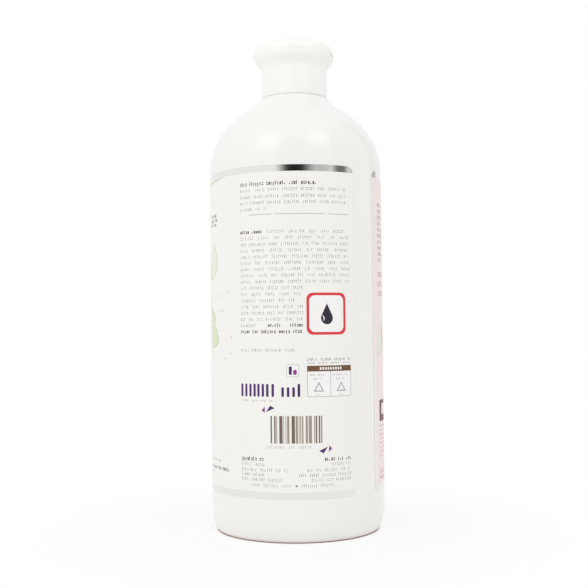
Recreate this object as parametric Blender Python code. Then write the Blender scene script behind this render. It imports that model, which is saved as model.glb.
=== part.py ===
"""One litre household cleaner bottle with a wrap-around label and a screw-on flip-top cap.

Metres, +Z up. The origin is the middle of the foot, on the table. The lid's hinge lies at -X and runs along
Y, and its thumb scoop faces +X. The label's written panel is turned a little from -Y towards +X.
"""

import math

import bmesh
import bpy
from mathutils import Matrix, Vector
from mathutils.geometry import delaunay_2d_cdt

for leftover in list(bpy.data.objects):
    bpy.data.objects.remove(leftover, do_unlink=True)

# Body of the bottle
BODY_RADIUS = 0.0420
BODY_TOP = 0.1750  # height at which the shoulder begins
DOME_RISE = 0.0355  # upright half axis of the shoulder's ellipse
HEEL_REACH = 0.0030  # how far the heel draws in towards the foot
HEEL_HEIGHT = 0.0085
FOOT_RING_WIDTH = 0.0025
PUSH_UP_HEIGHT = 0.0040
WALL = 0.0011
BASE_WALL = 0.0016

# Collar and neck
COLLAR_LAND = 0.0015  # straight end of the shoulder under the cap
SHOULDER_FLARE = 0.0105  # how far the hollow of the shoulder reaches out from the collar
NECK_RADIUS = 0.0125
NECK_HEIGHT = 0.0160
NECK_WALL = 0.0021
CAVITY_FLARE = 0.0076
CAVITY_LAND = 0.0025
LIP_CHAMFER = 0.0005

# Liquid
HEADSPACE = 0.0125  # from the collar down to the liquid
LIQUID_GAP = 0.0004

# Clearances
FIT_GAP = 0.0003
THREAD_GAP = 0.0003
CREST_GAP = 0.0005  # from the cap's thread to the neck, and from the gasket to the cap
THREAD_ROOM = 0.00075  # from the neck's thread to the cap's wall

# Screw thread
THREAD_PITCH = 0.00423
NECK_THREAD_DEPTH = 0.00115
NECK_THREAD_ROOT = 0.0022
NECK_THREAD_CREST = 0.0012
NECK_THREAD_TURNS = 1.5
NECK_THREAD_RUNOUT = 0.0026  # from the lip down to the thread's upper end
CAP_THREAD_ROOT = 0.0018
CAP_THREAD_CREST = 0.0009
CAP_THREAD_TURNS = 1.0
CAP_THREAD_START = math.radians(90)  # how far along the neck's thread the cap's begins
THREAD_LEAD = math.radians(30)  # over which each end of a thread fades out

# Cap
CAP_WALL = 0.0019
SKIRT_DRAFT = 0.0001
SKIRT_STRAIGHT = 0.0131  # height of the skirt's straight stretch
RIM_RADIUS = 0.0197
RIM_BAND = 0.0008  # straight band under the parting line
FLARE_LOW_PULL = 0.0032  # how long the flare keeps the skirt's direction
FLARE_HIGH_PULL = 0.0030
SEAL_THICKNESS = 0.0010
DECK_THICKNESS = 0.0016
DECK_DEPTH = 0.00245  # from the parting line down to the deck
LIP_WIDTH = 0.0010
LIP_HEIGHT = 0.0009
PLUG_WALL = 0.0012
PLUG_LENGTH = 0.0048
NOZZLE_RADIUS = 0.0043
NOZZLE_DRAFT = 0.0006
NOZZLE_HEIGHT = 0.0045
ORIFICE_RADIUS = 0.0022
EDGE_CHAMFER = 0.0004

# Lid
LID_WALL = 0.0012
LID_HEIGHT = 0.0079
LID_SIDE_PULL = 0.0050  # how long the dome keeps the rim's direction
LID_CROWN_PULL = 0.0120  # how far the dome stays flat from its middle
PIN_REACH = 0.0024  # how deep the pin enters the nozzle
PIN_ROOT_RADIUS = 0.0032
PIN_TIP_DRAFT = 0.0003
HINGE_OFFSET = 0.0002  # from the rim out to the hinge line
HINGE_WIDTH = 0.0100
HINGE_PAD_HEIGHT = 0.0021
HINGE_PAD_BITE = 0.0009  # how far the hinge's pads sink into the two rims
HINGE_PAD_SLOPE = 0.0005  # how far a pad draws in over its height
SCOOP_WIDTH = 0.0116
SCOOP_DEPTH = 0.0010
SCOOP_HEIGHT = 0.0014

# Label
FILM_THICKNESS = 0.0002
LABEL_TOP_MARGIN = 0.0028  # below the shoulder
LABEL_FOOT_MARGIN = 0.0117  # above the heel
LABEL_BARE_GAP = 0.0128  # between the film's two ends
LABEL_END_AZIMUTH = math.radians(53.8)  # right-hand end of the film, from -Y towards +X
LABEL_CORNER = 0.0030
FOIL_TOP = 0.0030
FOIL_BOTTOM = 0.0032
FROM_INSIDE = 1  # the triangulation leaves out what lies outside all outlines
SAME_POINT = 1e-7

# How finely round things are cut
BODY_SEGMENTS = 60
CAP_SEGMENTS = 48
LIQUID_SEGMENTS = 32
SCOOP_SEGMENTS = 20
THREAD_STEPS = 24  # in one turn
FOOT_STEPS = 4
HEEL_STEPS = 5
DOME_STEPS = 9
THROAT_STEPS = 5
CAVITY_FOOT_STEPS = 3
CAVITY_HEEL_STEPS = 3
CAVITY_DOME_STEPS = 8
CAVITY_THROAT_STEPS = 4
FLARE_STEPS = 8
LID_STEPS = 10
LID_INNER_STEPS = 8
ON_AXIS = 1e-9  # a radius below this is a point on the axis
PUSH_UP_POWER = 4  # the higher, the flatter the push-up's middle

# Heights and radii that follow
NECK_BORE = NECK_RADIUS - NECK_WALL
NECK_THREAD_RADIUS = NECK_RADIUS + NECK_THREAD_DEPTH
CAP_THREAD_RADIUS = NECK_RADIUS + CREST_GAP
CAP_BORE = NECK_THREAD_RADIUS + THREAD_ROOM
COLLAR_RADIUS = CAP_BORE + CAP_WALL
HINGE_X = -(RIM_RADIUS + HINGE_OFFSET)
LIP_RADIUS = RIM_RADIUS - LID_WALL - FIT_GAP
FILM_OUTER = BODY_RADIUS + FIT_GAP + FILM_THICKNESS
LABEL_BOTTOM = HEEL_HEIGHT + LABEL_FOOT_MARGIN
LABEL_TOP = BODY_TOP - LABEL_TOP_MARGIN


def bezier(points, count):
    """Points along a Bezier curve of any degree, without its first point."""
    curve = []
    for step in range(1, count + 1):
        share = step / count
        row = [Vector(point) for point in points]
        while len(row) > 1:
            row = [a.lerp(b, share) for a, b in zip(row, row[1:])]
        curve.append(tuple(row[0]))
    return curve


def foot_curve(lift, count):
    """The push-up from the middle of the base out to the standing ring's inner edge."""
    edge = BODY_RADIUS - HEEL_REACH - FOOT_RING_WIDTH
    curve = []
    for step in range(count + 1):
        share = math.sin(math.pi / 2 * step / count)
        curve.append((edge * share, lift + PUSH_UP_HEIGHT * (1 - share**PUSH_UP_POWER)))
    return curve


def side_curve(inset, lift, mouth, flare, land, heel_steps, dome_steps, throat_steps):
    """From the standing ring up the heel, the body and the dome to the mouth, inset from the outside."""
    heel_middle = BODY_RADIUS - HEEL_REACH
    curve = [(heel_middle, lift)]
    for step in range(1, heel_steps + 1):
        angle = math.pi / 2 * step / heel_steps
        radius = heel_middle + (HEEL_REACH - inset) * math.sin(angle)
        curve.append((radius, HEEL_HEIGHT - (HEEL_HEIGHT - lift) * math.cos(angle)))
    wide = BODY_RADIUS - inset
    high = DOME_RISE - inset
    last = math.acos((mouth + flare) / wide)
    for step in range(dome_steps + 1):
        angle = last * step / dome_steps
        curve.append((wide * math.cos(angle), BODY_TOP + high * math.sin(angle)))
    radius, height = curve[-1]
    slope = high / wide / math.tan(last)
    turn = height + slope * flare
    curve += bezier([(radius, height), (mouth, turn), (mouth, turn + land)], throat_steps)
    return curve


def revolved(name, profile, segments, closed):
    """A solid of revolution. A profile that isn't closed begins and ends on the axis."""
    mesh = bpy.data.meshes.new(name)
    shape = bmesh.new()
    rings = []
    for radius, height in profile:
        if radius < ON_AXIS:
            rings.append([shape.verts.new((0, 0, height))] * segments)
            continue
        ring = []
        for step in range(segments):
            angle = 2 * math.pi * step / segments
            ring.append(shape.verts.new((radius * math.cos(angle), radius * math.sin(angle), height)))
        rings.append(ring)
    pairs = list(zip(rings, rings[1:]))
    if closed:
        pairs.append((rings[-1], rings[0]))
    for low, high in pairs:
        for step in range(segments):
            beside = (step + 1) % segments
            corners = []
            for corner in (low[step], low[beside], high[beside], high[step]):
                if corner not in corners:
                    corners.append(corner)
            shape.faces.new(corners)
    bmesh.ops.recalc_face_normals(shape, faces=shape.faces)
    shape.to_mesh(mesh)
    shape.free()
    return linked(name, mesh)


def linked(name, mesh):
    made = bpy.data.objects.new(name, mesh)
    bpy.context.scene.collection.objects.link(made)
    return made


def lofted(name, sections):
    """A solid through sections that have the same number of corners, with both ends filled."""
    mesh = bpy.data.meshes.new(name)
    shape = bmesh.new()
    rings = [[shape.verts.new(point) for point in section] for section in sections]
    count = len(rings[0])
    for low, high in zip(rings, rings[1:]):
        for step in range(count):
            beside = (step + 1) % count
            shape.faces.new((low[step], low[beside], high[beside], high[step]))
    shape.faces.new(rings[0])
    shape.faces.new(rings[-1])
    bmesh.ops.recalc_face_normals(shape, faces=shape.faces)
    shape.to_mesh(mesh)
    shape.free()
    return linked(name, mesh)


def helper(made):
    made.hide_render = True
    made.display_type = "WIRE"
    return made


def joined(target, other, operation):
    helper(other)
    step = target.modifiers.new(other.name, "BOOLEAN")
    step.operation = operation
    step.solver = "EXACT"
    step.object = other


def thread_ridge(name, wall, crest, root_width, crest_width, start, first_height, turns, bury):
    """A helical ridge from wall to crest, sunk into the wall by bury, that fades out at both ends."""
    sweep = 2 * math.pi * turns
    count = round(THREAD_STEPS * turns)
    outward = math.copysign(1, crest - wall)
    sections = []
    for step in range(count + 1):
        along = sweep * step / count
        fade = min(1.0, along / THREAD_LEAD, (sweep - along) / THREAD_LEAD)
        angle = start + along
        height = first_height + THREAD_PITCH * along / (2 * math.pi)
        deep = wall - outward * bury
        tip = wall - outward * bury / 2
        reach = tip + (crest - tip) * fade
        section = []
        for radius, offset in (
            (deep, -root_width / 2),
            (reach, -crest_width / 2),
            (reach, crest_width / 2),
            (deep, root_width / 2),
        ):
            section.append((radius * math.cos(angle), radius * math.sin(angle), height + offset))
        sections.append(section)
    return lofted(name, sections)


def painted(name, colour, roughness, metallic=0.0):
    material = bpy.data.materials.new(name)
    material.use_nodes = True
    shader = material.node_tree.nodes["Principled BSDF"]
    shader.inputs["Base Color"].default_value = (*colour, 1)
    shader.inputs["Roughness"].default_value = roughness
    shader.inputs["Metallic"].default_value = metallic
    material.diffuse_color = (*colour, 1)
    return material


def finished(made, material, crease=math.radians(35)):
    made.data.materials.append(material)
    made.data.shade_smooth()
    made.data.set_sharp_from_angle(angle=crease)
    return made


def axis_empty(name, place, parent=None):
    empty = bpy.data.objects.new(name, None)
    bpy.context.scene.collection.objects.link(empty)
    empty.empty_display_size = BODY_RADIUS / 4
    empty.parent = parent
    empty.location = Vector(place) - (world_place(parent) if parent else Vector())
    return empty


def world_place(made):
    place = made.location.copy()
    while made.parent:
        made = made.parent
        place += made.location
    return place


def carried(made, parent):
    """Gives the object its parent's place as its origin, with its shape left where it is."""
    made.data.transform(Matrix.Translation(-world_place(parent)))
    made.parent = parent
    return made


def outer_curve():
    steps = (HEEL_STEPS, DOME_STEPS, THROAT_STEPS)
    return side_curve(0, 0, COLLAR_RADIUS, SHOULDER_FLARE, COLLAR_LAND, *steps)


def cavity_curve(inset, lift):
    mouth = NECK_BORE - (inset - WALL)
    steps = (CAVITY_HEEL_STEPS, CAVITY_DOME_STEPS, CAVITY_THROAT_STEPS)
    return side_curve(inset, lift, mouth, CAVITY_FLARE, CAVITY_LAND, *steps)


COLLAR_TOP = outer_curve()[-1][1]
NECK_TOP = COLLAR_TOP + NECK_HEIGHT
LIQUID_LEVEL = COLLAR_TOP - HEADSPACE
SKIRT_FOOT = COLLAR_TOP + FIT_GAP
SEAL_BOTTOM = NECK_TOP + FIT_GAP
DECK_BOTTOM = SEAL_BOTTOM + SEAL_THICKNESS + FIT_GAP
DECK_TOP = DECK_BOTTOM + DECK_THICKNESS
RIM_TOP = DECK_TOP + DECK_DEPTH
HINGE_Z = RIM_TOP + FIT_GAP / 2
LID_FOOT = RIM_TOP + FIT_GAP
NOZZLE_TOP = DECK_TOP + NOZZLE_HEIGHT
NECK_THREAD_TOP = NECK_TOP - NECK_THREAD_RUNOUT
NECK_THREAD_FOOT = NECK_THREAD_TOP - THREAD_PITCH * NECK_THREAD_TURNS


def make_bottle(material):
    """The blown shell: outside, push-up, cavity, neck and its thread, in one piece."""
    profile = foot_curve(0, FOOT_STEPS) + outer_curve()
    profile += [
        (NECK_RADIUS, COLLAR_TOP),
        (NECK_RADIUS, NECK_TOP - LIP_CHAMFER),
        (NECK_RADIUS - LIP_CHAMFER, NECK_TOP),
        (NECK_BORE + LIP_CHAMFER, NECK_TOP),
        (NECK_BORE, NECK_TOP - LIP_CHAMFER),
    ]
    profile += reversed(foot_curve(BASE_WALL, CAVITY_FOOT_STEPS) + cavity_curve(WALL, BASE_WALL))
    bottle = revolved("bottle", profile, BODY_SEGMENTS, closed=False)
    ridge = thread_ridge(
        "neck_thread",
        NECK_RADIUS,
        NECK_THREAD_RADIUS,
        NECK_THREAD_ROOT,
        NECK_THREAD_CREST,
        0.0,
        NECK_THREAD_FOOT,
        NECK_THREAD_TURNS,
        NECK_WALL / 4,
    )
    joined(bottle, ridge, "UNION")
    return finished(bottle, material)


def make_liquid(material):
    """The litre inside, as one rigid shape with a level top."""
    inset = WALL + LIQUID_GAP
    lift = BASE_WALL + LIQUID_GAP
    profile = foot_curve(lift, CAVITY_FOOT_STEPS)
    wall = cavity_curve(inset, lift)
    for low, high in zip(wall, wall[1:]):
        profile.append(low)
        if high[1] > LIQUID_LEVEL:
            share = (LIQUID_LEVEL - low[1]) / (high[1] - low[1])
            profile.append(tuple(Vector(low).lerp(Vector(high), share)))
            break
    profile.append((0, LIQUID_LEVEL))
    return finished(revolved("cleaner_liquid", profile, LIQUID_SEGMENTS, closed=False), material)


def make_seal(material):
    """The flat gasket on the neck's lip."""
    inner = NECK_BORE
    outer = CAP_BORE - CREST_GAP
    top = SEAL_BOTTOM + SEAL_THICKNESS
    profile = [(inner, SEAL_BOTTOM), (outer, SEAL_BOTTOM), (outer, top), (inner, top)]
    return finished(revolved("seal_ring", profile, CAP_SEGMENTS, closed=True), material)


def cap_profile():
    """The cap's lower half in section: up the outside, over the rim, down the nozzle, plug and bore."""
    straight_top = SKIRT_FOOT + SKIRT_STRAIGHT
    waist = COLLAR_RADIUS - SKIRT_DRAFT
    band_foot = RIM_TOP - RIM_BAND
    plug_outer = NECK_BORE - FIT_GAP
    plug_inner = plug_outer - PLUG_WALL
    plug_foot = DECK_BOTTOM - PLUG_LENGTH
    lip_inner = LIP_RADIUS - LIP_WIDTH
    lip_top = RIM_TOP + LIP_HEIGHT
    edge = EDGE_CHAMFER
    profile = [
        (COLLAR_RADIUS - edge / 2, SKIRT_FOOT),
        (COLLAR_RADIUS, SKIRT_FOOT + edge / 2),
        (waist, straight_top),
    ]
    profile += bezier(
        [
            (waist, straight_top),
            (waist, straight_top + FLARE_LOW_PULL),
            (RIM_RADIUS, band_foot - FLARE_HIGH_PULL),
            (RIM_RADIUS, band_foot),
        ],
        FLARE_STEPS,
    )
    profile += [
        (RIM_RADIUS, RIM_TOP - edge / 2),
        (RIM_RADIUS - edge / 2, RIM_TOP),
        (LIP_RADIUS, RIM_TOP),
        (LIP_RADIUS, lip_top - edge),
        (LIP_RADIUS - edge, lip_top),
        (lip_inner, lip_top),
        (lip_inner, DECK_TOP),
        (NOZZLE_RADIUS + NOZZLE_DRAFT, DECK_TOP),
        (NOZZLE_RADIUS, NOZZLE_TOP - edge),
        (NOZZLE_RADIUS - edge, NOZZLE_TOP),
        (ORIFICE_RADIUS + edge, NOZZLE_TOP),
        (ORIFICE_RADIUS, NOZZLE_TOP - edge),
        (ORIFICE_RADIUS, DECK_BOTTOM),
        (plug_inner, DECK_BOTTOM),
        (plug_inner, plug_foot),
        (plug_outer - edge, plug_foot),
        (plug_outer, plug_foot + edge),
        (plug_outer, DECK_BOTTOM),
        (CAP_BORE, DECK_BOTTOM),
        (CAP_BORE, SKIRT_FOOT + edge),
        (CAP_BORE + edge, SKIRT_FOOT),
    ]
    return profile


def hinge_pad(name, root, tip):
    """A block that carries a rim out to the straight hinge line at root, and draws in towards tip."""
    inner = HINGE_X + HINGE_OFFSET + HINGE_PAD_BITE
    half = HINGE_WIDTH / 2
    sections = []
    for height, outer in ((root, HINGE_X), (tip, HINGE_X + HINGE_PAD_SLOPE)):
        corners = [
            (inner, -half),
            (outer + EDGE_CHAMFER, -half),
            (outer, EDGE_CHAMFER - half),
            (outer, half - EDGE_CHAMFER),
            (outer + EDGE_CHAMFER, half),
            (inner, half),
        ]
        sections.append([(x, y, height) for x, y in corners])
    return lofted(name, sections)


def make_cap(material):
    """The cap's lower half, with its thread, the pad of its hinge and the thumb scoop."""
    cap = revolved("cap_base", cap_profile(), CAP_SEGMENTS, closed=True)
    offset = NECK_THREAD_ROOT / 2 + CAP_THREAD_CREST / 2 + THREAD_GAP
    first = NECK_THREAD_FOOT + THREAD_PITCH * CAP_THREAD_START / (2 * math.pi) - offset
    ridge = thread_ridge(
        "cap_thread",
        CAP_BORE,
        CAP_THREAD_RADIUS,
        CAP_THREAD_ROOT,
        CAP_THREAD_CREST,
        CAP_THREAD_START,
        first,
        CAP_THREAD_TURNS,
        CAP_WALL / 4,
    )
    joined(cap, ridge, "UNION")
    pad = hinge_pad("cap_hinge_pad", RIM_TOP, RIM_TOP - HINGE_PAD_HEIGHT)
    joined(cap, pad, "UNION")
    joined(cap, thumb_scoop(), "DIFFERENCE")
    return finished(cap, material)


def thumb_scoop():
    """An ellipsoid that bites a shallow hollow out of the rim's upper edge."""
    mesh = bpy.data.meshes.new("thumb_scoop")
    shape = bmesh.new()
    bmesh.ops.create_uvsphere(shape, u_segments=SCOOP_SEGMENTS, v_segments=SCOOP_SEGMENTS // 2, radius=1)
    shape.to_mesh(mesh)
    shape.free()
    outside = SCOOP_DEPTH / 2
    size = (SCOOP_DEPTH + outside, SCOOP_WIDTH / 2, SCOOP_HEIGHT)
    centre = (RIM_RADIUS + outside, 0, RIM_TOP)
    mesh.transform(Matrix.Translation(centre) @ Matrix.Diagonal((*size, 1)))
    return linked("thumb_scoop", mesh)


def lid_curve(radius, height, side_pull, crown_pull, count):
    """The dome's section from its rim to its middle."""
    rim = (radius, LID_FOOT + EDGE_CHAMFER / 2)
    top = LID_FOOT + height
    return [rim] + bezier(
        [rim, (radius, LID_FOOT + side_pull), (crown_pull, top), (0, top)],
        count,
    )


def make_lid(material):
    """The domed lid, hollow, with the pin that closes the nozzle and the pad of its hinge."""
    inner_radius = RIM_RADIUS - LID_WALL
    outer = lid_curve(RIM_RADIUS, LID_HEIGHT, LID_SIDE_PULL, LID_CROWN_PULL, LID_STEPS)
    inner = lid_curve(
        inner_radius,
        LID_HEIGHT - LID_WALL,
        LID_SIDE_PULL - LID_WALL,
        LID_CROWN_PULL,
        LID_INNER_STEPS,
    )
    edge = EDGE_CHAMFER / 2
    pin = ORIFICE_RADIUS - FIT_GAP
    pin_foot = NOZZLE_TOP - PIN_REACH
    profile = list(reversed(outer))
    profile += [(RIM_RADIUS - edge, LID_FOOT), (inner_radius, LID_FOOT)]
    profile += [point for point in inner[1:] if point[0] > PIN_ROOT_RADIUS]
    profile += [
        (PIN_ROOT_RADIUS, inner[-1][1]),
        (pin, NOZZLE_TOP + EDGE_CHAMFER),
        (pin, pin_foot + EDGE_CHAMFER),
        (pin - PIN_TIP_DRAFT, pin_foot),
        (0, pin_foot),
    ]
    lid = revolved("flip_lid", profile, CAP_SEGMENTS, closed=False)
    pad = hinge_pad("lid_hinge_pad", LID_FOOT, LID_FOOT + HINGE_PAD_HEIGHT)
    joined(lid, pad, "UNION")
    return finished(lid, material)


def rectangle(left, right, low, high):
    return [(left, low), (right, low), (right, high), (left, high)]


def rounded(left, right, low, high, radius, steps=4):
    """A rectangle with round corners, counter-clockwise."""
    outline = []
    for centre_u, centre_v, first in (
        (right - radius, low + radius, -90),
        (right - radius, high - radius, 0),
        (left + radius, high - radius, 90),
        (left + radius, low + radius, 180),
    ):
        for step in range(steps + 1):
            angle = math.radians(first + 90 * step / steps)
            outline.append((centre_u + radius * math.cos(angle), centre_v + radius * math.sin(angle)))
    return outline


def leaf(u, v, length, width, heading, steps=6):
    """A leaf with pointed ends, its base at (u, v) and its tip along heading."""
    along = Vector((math.cos(heading), math.sin(heading)))
    across = Vector((-along.y, along.x))
    right_side = []
    left_side = []
    for step in range(steps + 1):
        share = step / steps
        middle = Vector((u, v)) + along * length * share
        half = width / 2 * math.sin(math.pi * share)
        right_side.append(tuple(middle - across * half))
        left_side.append(tuple(middle + across * half))
    return right_side + left_side[-2:0:-1]


def drop(u, v, radius, steps=10):
    """A water drop: a round foot about (u, v) that rises to a point."""
    shoulder = math.radians(60)  # how far from the top the round stretch begins and ends
    first = math.pi / 2 + shoulder
    sweep = 2 * math.pi - 2 * shoulder
    outline = [(u, v + radius * DROP_RISE)]
    for step in range(steps + 1):
        angle = first + sweep * step / steps
        outline.append((u + radius * math.cos(angle), v + radius * math.sin(angle)))
    return outline


# Layout of the label's print. Widths are measured left from the film's right-hand end, heights from its lower
# edge, or down from its upper edge.
PANEL_RIGHT = 0.0026
PANEL_LEFT = 0.0563
LINE_HEIGHT = 0.0011
HEADING_HEIGHT = 0.0015
HEADING_RIGHT = 0.0189
HEADING_DROP = 0.0092
INTRO_DROP = 0.0118
INTRO_LINES = 4
INTRO_PITCH = 0.0029
INTRO_LAST_RIGHT = 0.0415
RULE_LEFT = 0.0515
RULE_DROP = 0.0227
RULE_HEIGHT = 0.0003
PARAGRAPH_DROP = 0.0311
PARAGRAPH_LINES = 17
PARAGRAPH_PITCH = 0.00286
SHORT_FROM_LINE = 9  # lines from here on leave room for the framed drop
SHORT_RIGHT = 0.0256
CODE_RISE = 0.0669
CODE_RIGHT = 0.0289
FRAME_MIDDLE = 0.0138
FRAME_RISE = 0.0838  # middle of the red frame
FRAME_SIDE = 0.0190
FRAME_BORDER = 0.0012
FRAME_CORNER = 0.0030
DROP_RADIUS = 0.0027
DROP_SINK = 0.0018  # from the frame's middle down to the drop's
DROP_RISE = 2.2  # height of the drop's point, in radii
VOLUME_RISE = 0.0462
VOLUME_HEIGHT = 0.0059
VOLUME_LOW_HEIGHT = 0.0044
VOLUME_STROKE = 0.0012
VOLUME_TALL_LEFTS = (0.0541, 0.0518, 0.0496, 0.0476, 0.0454, 0.0432, 0.0406, 0.0286)
VOLUME_LOW_LEFTS = (0.0360, 0.0335, 0.0310)
TABLE_RIGHT = 0.0023
TABLE_WIDTH = 0.0219
TABLE_RISE = 0.0460
TABLE_HEIGHT = 0.0142
TABLE_HEADER = 0.0026
TABLE_LINE = 0.0003
TABLE_DIVIDER = 0.0131
TABLE_SIGNS = (0.0188, 0.0078)
SIGN_RISE = 0.0026
SIGN_HALF = 0.0022
SIGN_HEIGHT = 0.0042
STRIPES_RISE = 0.0252
STRIPES_HEIGHT = 0.0124
STRIPES_LEFT = 0.0412
STRIPES_PITCH = 0.00104
STRIPES = 23
STRIPE_WIDTHS = (0.00031, 0.00073, 0.00052)
STRIPES_TO_DARK = 4
COLUMN_RISE = 0.0076
COLUMN_LINES = 5
COLUMN_PITCH = 0.0023
COLUMN_WIDTH = 0.0165
WEB_LINE_RISE = 0.0054
WEB_LINE_LEFT = 0.0509
WEB_LINE_RIGHT = 0.0078
LEAF_EDGE = 0.00035
LEAVES = (  # distance left, rise, length, width and heading in degrees of each leaf
    (0.0925, 0.1480, 0.0300, 0.0040, 3),
    (0.0850, 0.1010, 0.0175, 0.0085, 78),
    (0.0880, 0.1010, 0.0150, 0.0065, 118),
    (0.0900, 0.1000, 0.0130, 0.0055, 158),
    (0.0835, 0.0690, 0.0105, 0.0080, 75),
    (0.0830, 0.0775, 0.0100, 0.0075, 97),
    (0.0880, 0.0720, 0.0150, 0.0065, 128),
    (0.0910, 0.0680, 0.0120, 0.0055, 172),
    (0.0850, 0.0310, 0.0075, 0.0055, 80),
)
TINT_WIDTH = 0.0640  # of the tinted panel at the film's left-hand end
TINT_LINES = 13
TINT_MARGIN = 0.0062
TINT_DROP = 0.0164
TINT_PITCH = 0.0034
PLUM_RIGHT_MARGIN = 0.0180
PLUM_RISE = 0.0324
PLUM_HEIGHT = 0.0102
PLUM_CORNER = 0.0010


def bar(colour, left, right, low, tall=LINE_HEIGHT):
    return (colour, rectangle(-left, -right, low, low + tall))


def rows_of_writing(height):
    """Grey bars in place of writing."""
    shapes = [
        bar("dark", PANEL_LEFT, HEADING_RIGHT, height - HEADING_DROP, HEADING_HEIGHT),
        bar("grey", RULE_LEFT, PANEL_RIGHT, height - RULE_DROP, RULE_HEIGHT),
        bar("grey", PANEL_LEFT, CODE_RIGHT, CODE_RISE),
        bar("grey", WEB_LINE_LEFT, WEB_LINE_RIGHT, WEB_LINE_RISE),
    ]
    for line in range(INTRO_LINES):
        right = INTRO_LAST_RIGHT if line == INTRO_LINES - 1 else PANEL_RIGHT
        shapes.append(bar("grey", PANEL_LEFT, right, height - INTRO_DROP - INTRO_PITCH * line))
    for line in range(PARAGRAPH_LINES):
        right = PANEL_RIGHT if line < SHORT_FROM_LINE else SHORT_RIGHT
        colour = "dark" if line == PARAGRAPH_LINES - 1 else "grey"
        shapes.append(bar(colour, PANEL_LEFT, right, height - PARAGRAPH_DROP - PARAGRAPH_PITCH * line))
    for line in range(COLUMN_LINES):
        low = COLUMN_RISE + COLUMN_PITCH * line
        shapes.append(bar("grey", PANEL_LEFT, PANEL_LEFT - COLUMN_WIDTH, low))
        shapes.append(bar("grey", PANEL_RIGHT + COLUMN_WIDTH, PANEL_RIGHT, low))
    return shapes


def framed_drop():
    """A red frame with a drop in it."""
    middle = -FRAME_MIDDLE
    shapes = []
    for colour, inset in (("red", 0), ("white", FRAME_BORDER)):
        half = FRAME_SIDE / 2 - inset
        sides = (middle - half, middle + half, FRAME_RISE - half, FRAME_RISE + half)
        shapes.append((colour, rounded(*sides, FRAME_CORNER - inset)))
    shapes.append(("ink", drop(middle, FRAME_RISE - DROP_SINK, DROP_RADIUS)))
    return shapes


def volume_strokes():
    shapes = []
    for lefts, tall in ((VOLUME_TALL_LEFTS, VOLUME_HEIGHT), (VOLUME_LOW_LEFTS, VOLUME_LOW_HEIGHT)):
        for left in lefts:
            shapes.append(bar("purple", left, left - VOLUME_STROKE, VOLUME_RISE, tall))
    return shapes


def sorting_table():
    """A table of two cells under a heading, with a triangle in each."""
    right = -TABLE_RIGHT
    left = right - TABLE_WIDTH
    top = TABLE_RISE + TABLE_HEIGHT
    line = TABLE_LINE
    shapes = [
        ("grey", rectangle(left, right, TABLE_RISE, top)),
        ("white", rectangle(left + line, right - line, TABLE_RISE + line, top - line)),
        ("taupe", rectangle(left, right, top - TABLE_HEADER, top)),
        bar("grey", TABLE_DIVIDER, TABLE_DIVIDER - line, TABLE_RISE, TABLE_HEIGHT - TABLE_HEADER),
    ]
    for sign in TABLE_SIGNS:
        low = TABLE_RISE + SIGN_RISE
        corners = [(-sign - SIGN_HALF, low), (-sign + SIGN_HALF, low), (-sign, low + SIGN_HEIGHT)]
        shapes.append(("grey", corners))
    return shapes


def stripes():
    shapes = []
    for stripe in range(STRIPES):
        left = STRIPES_LEFT - stripe * STRIPES_PITCH
        width = STRIPE_WIDTHS[stripe * 5 % len(STRIPE_WIDTHS)]
        colour = "taupe" if stripe % STRIPES_TO_DARK else "dark"
        shapes.append(bar(colour, left, left - width, STRIPES_RISE, STRIPES_HEIGHT))
    return shapes


def leaf_picture():
    """Loose sprays of pale leaves with darker edges."""
    shapes = []
    for left, rise, length, width, degrees in LEAVES:
        heading = math.radians(degrees)
        step_in = Vector((math.cos(heading), math.sin(heading))) * LEAF_EDGE
        shapes.append(("olive", leaf(-left, rise, length, width, heading)))
        inner = (length - 2 * LEAF_EDGE, width - 2 * LEAF_EDGE)
        shapes.append(("leaf", leaf(-left + step_in.x, rise + step_in.y, *inner, heading)))
    return shapes


def tinted_panel(width, height):
    """The pink field at the film's left-hand end, with bars and one dark block."""
    left = -width
    right = left + TINT_WIDTH
    shapes = [("pink", rectangle(left, right, FOIL_BOTTOM, height - FOIL_TOP))]
    for line in range(TINT_LINES):
        low = height - TINT_DROP - TINT_PITCH * line
        sides = (left + TINT_MARGIN, right - TINT_MARGIN)
        shapes.append(("maroon", rectangle(*sides, low, low + LINE_HEIGHT)))
    sides = (left + TINT_MARGIN, right - PLUM_RIGHT_MARGIN)
    shapes.append(("plum", rounded(*sides, PLUM_RISE, PLUM_RISE + PLUM_HEIGHT, PLUM_CORNER)))
    return shapes


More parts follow.
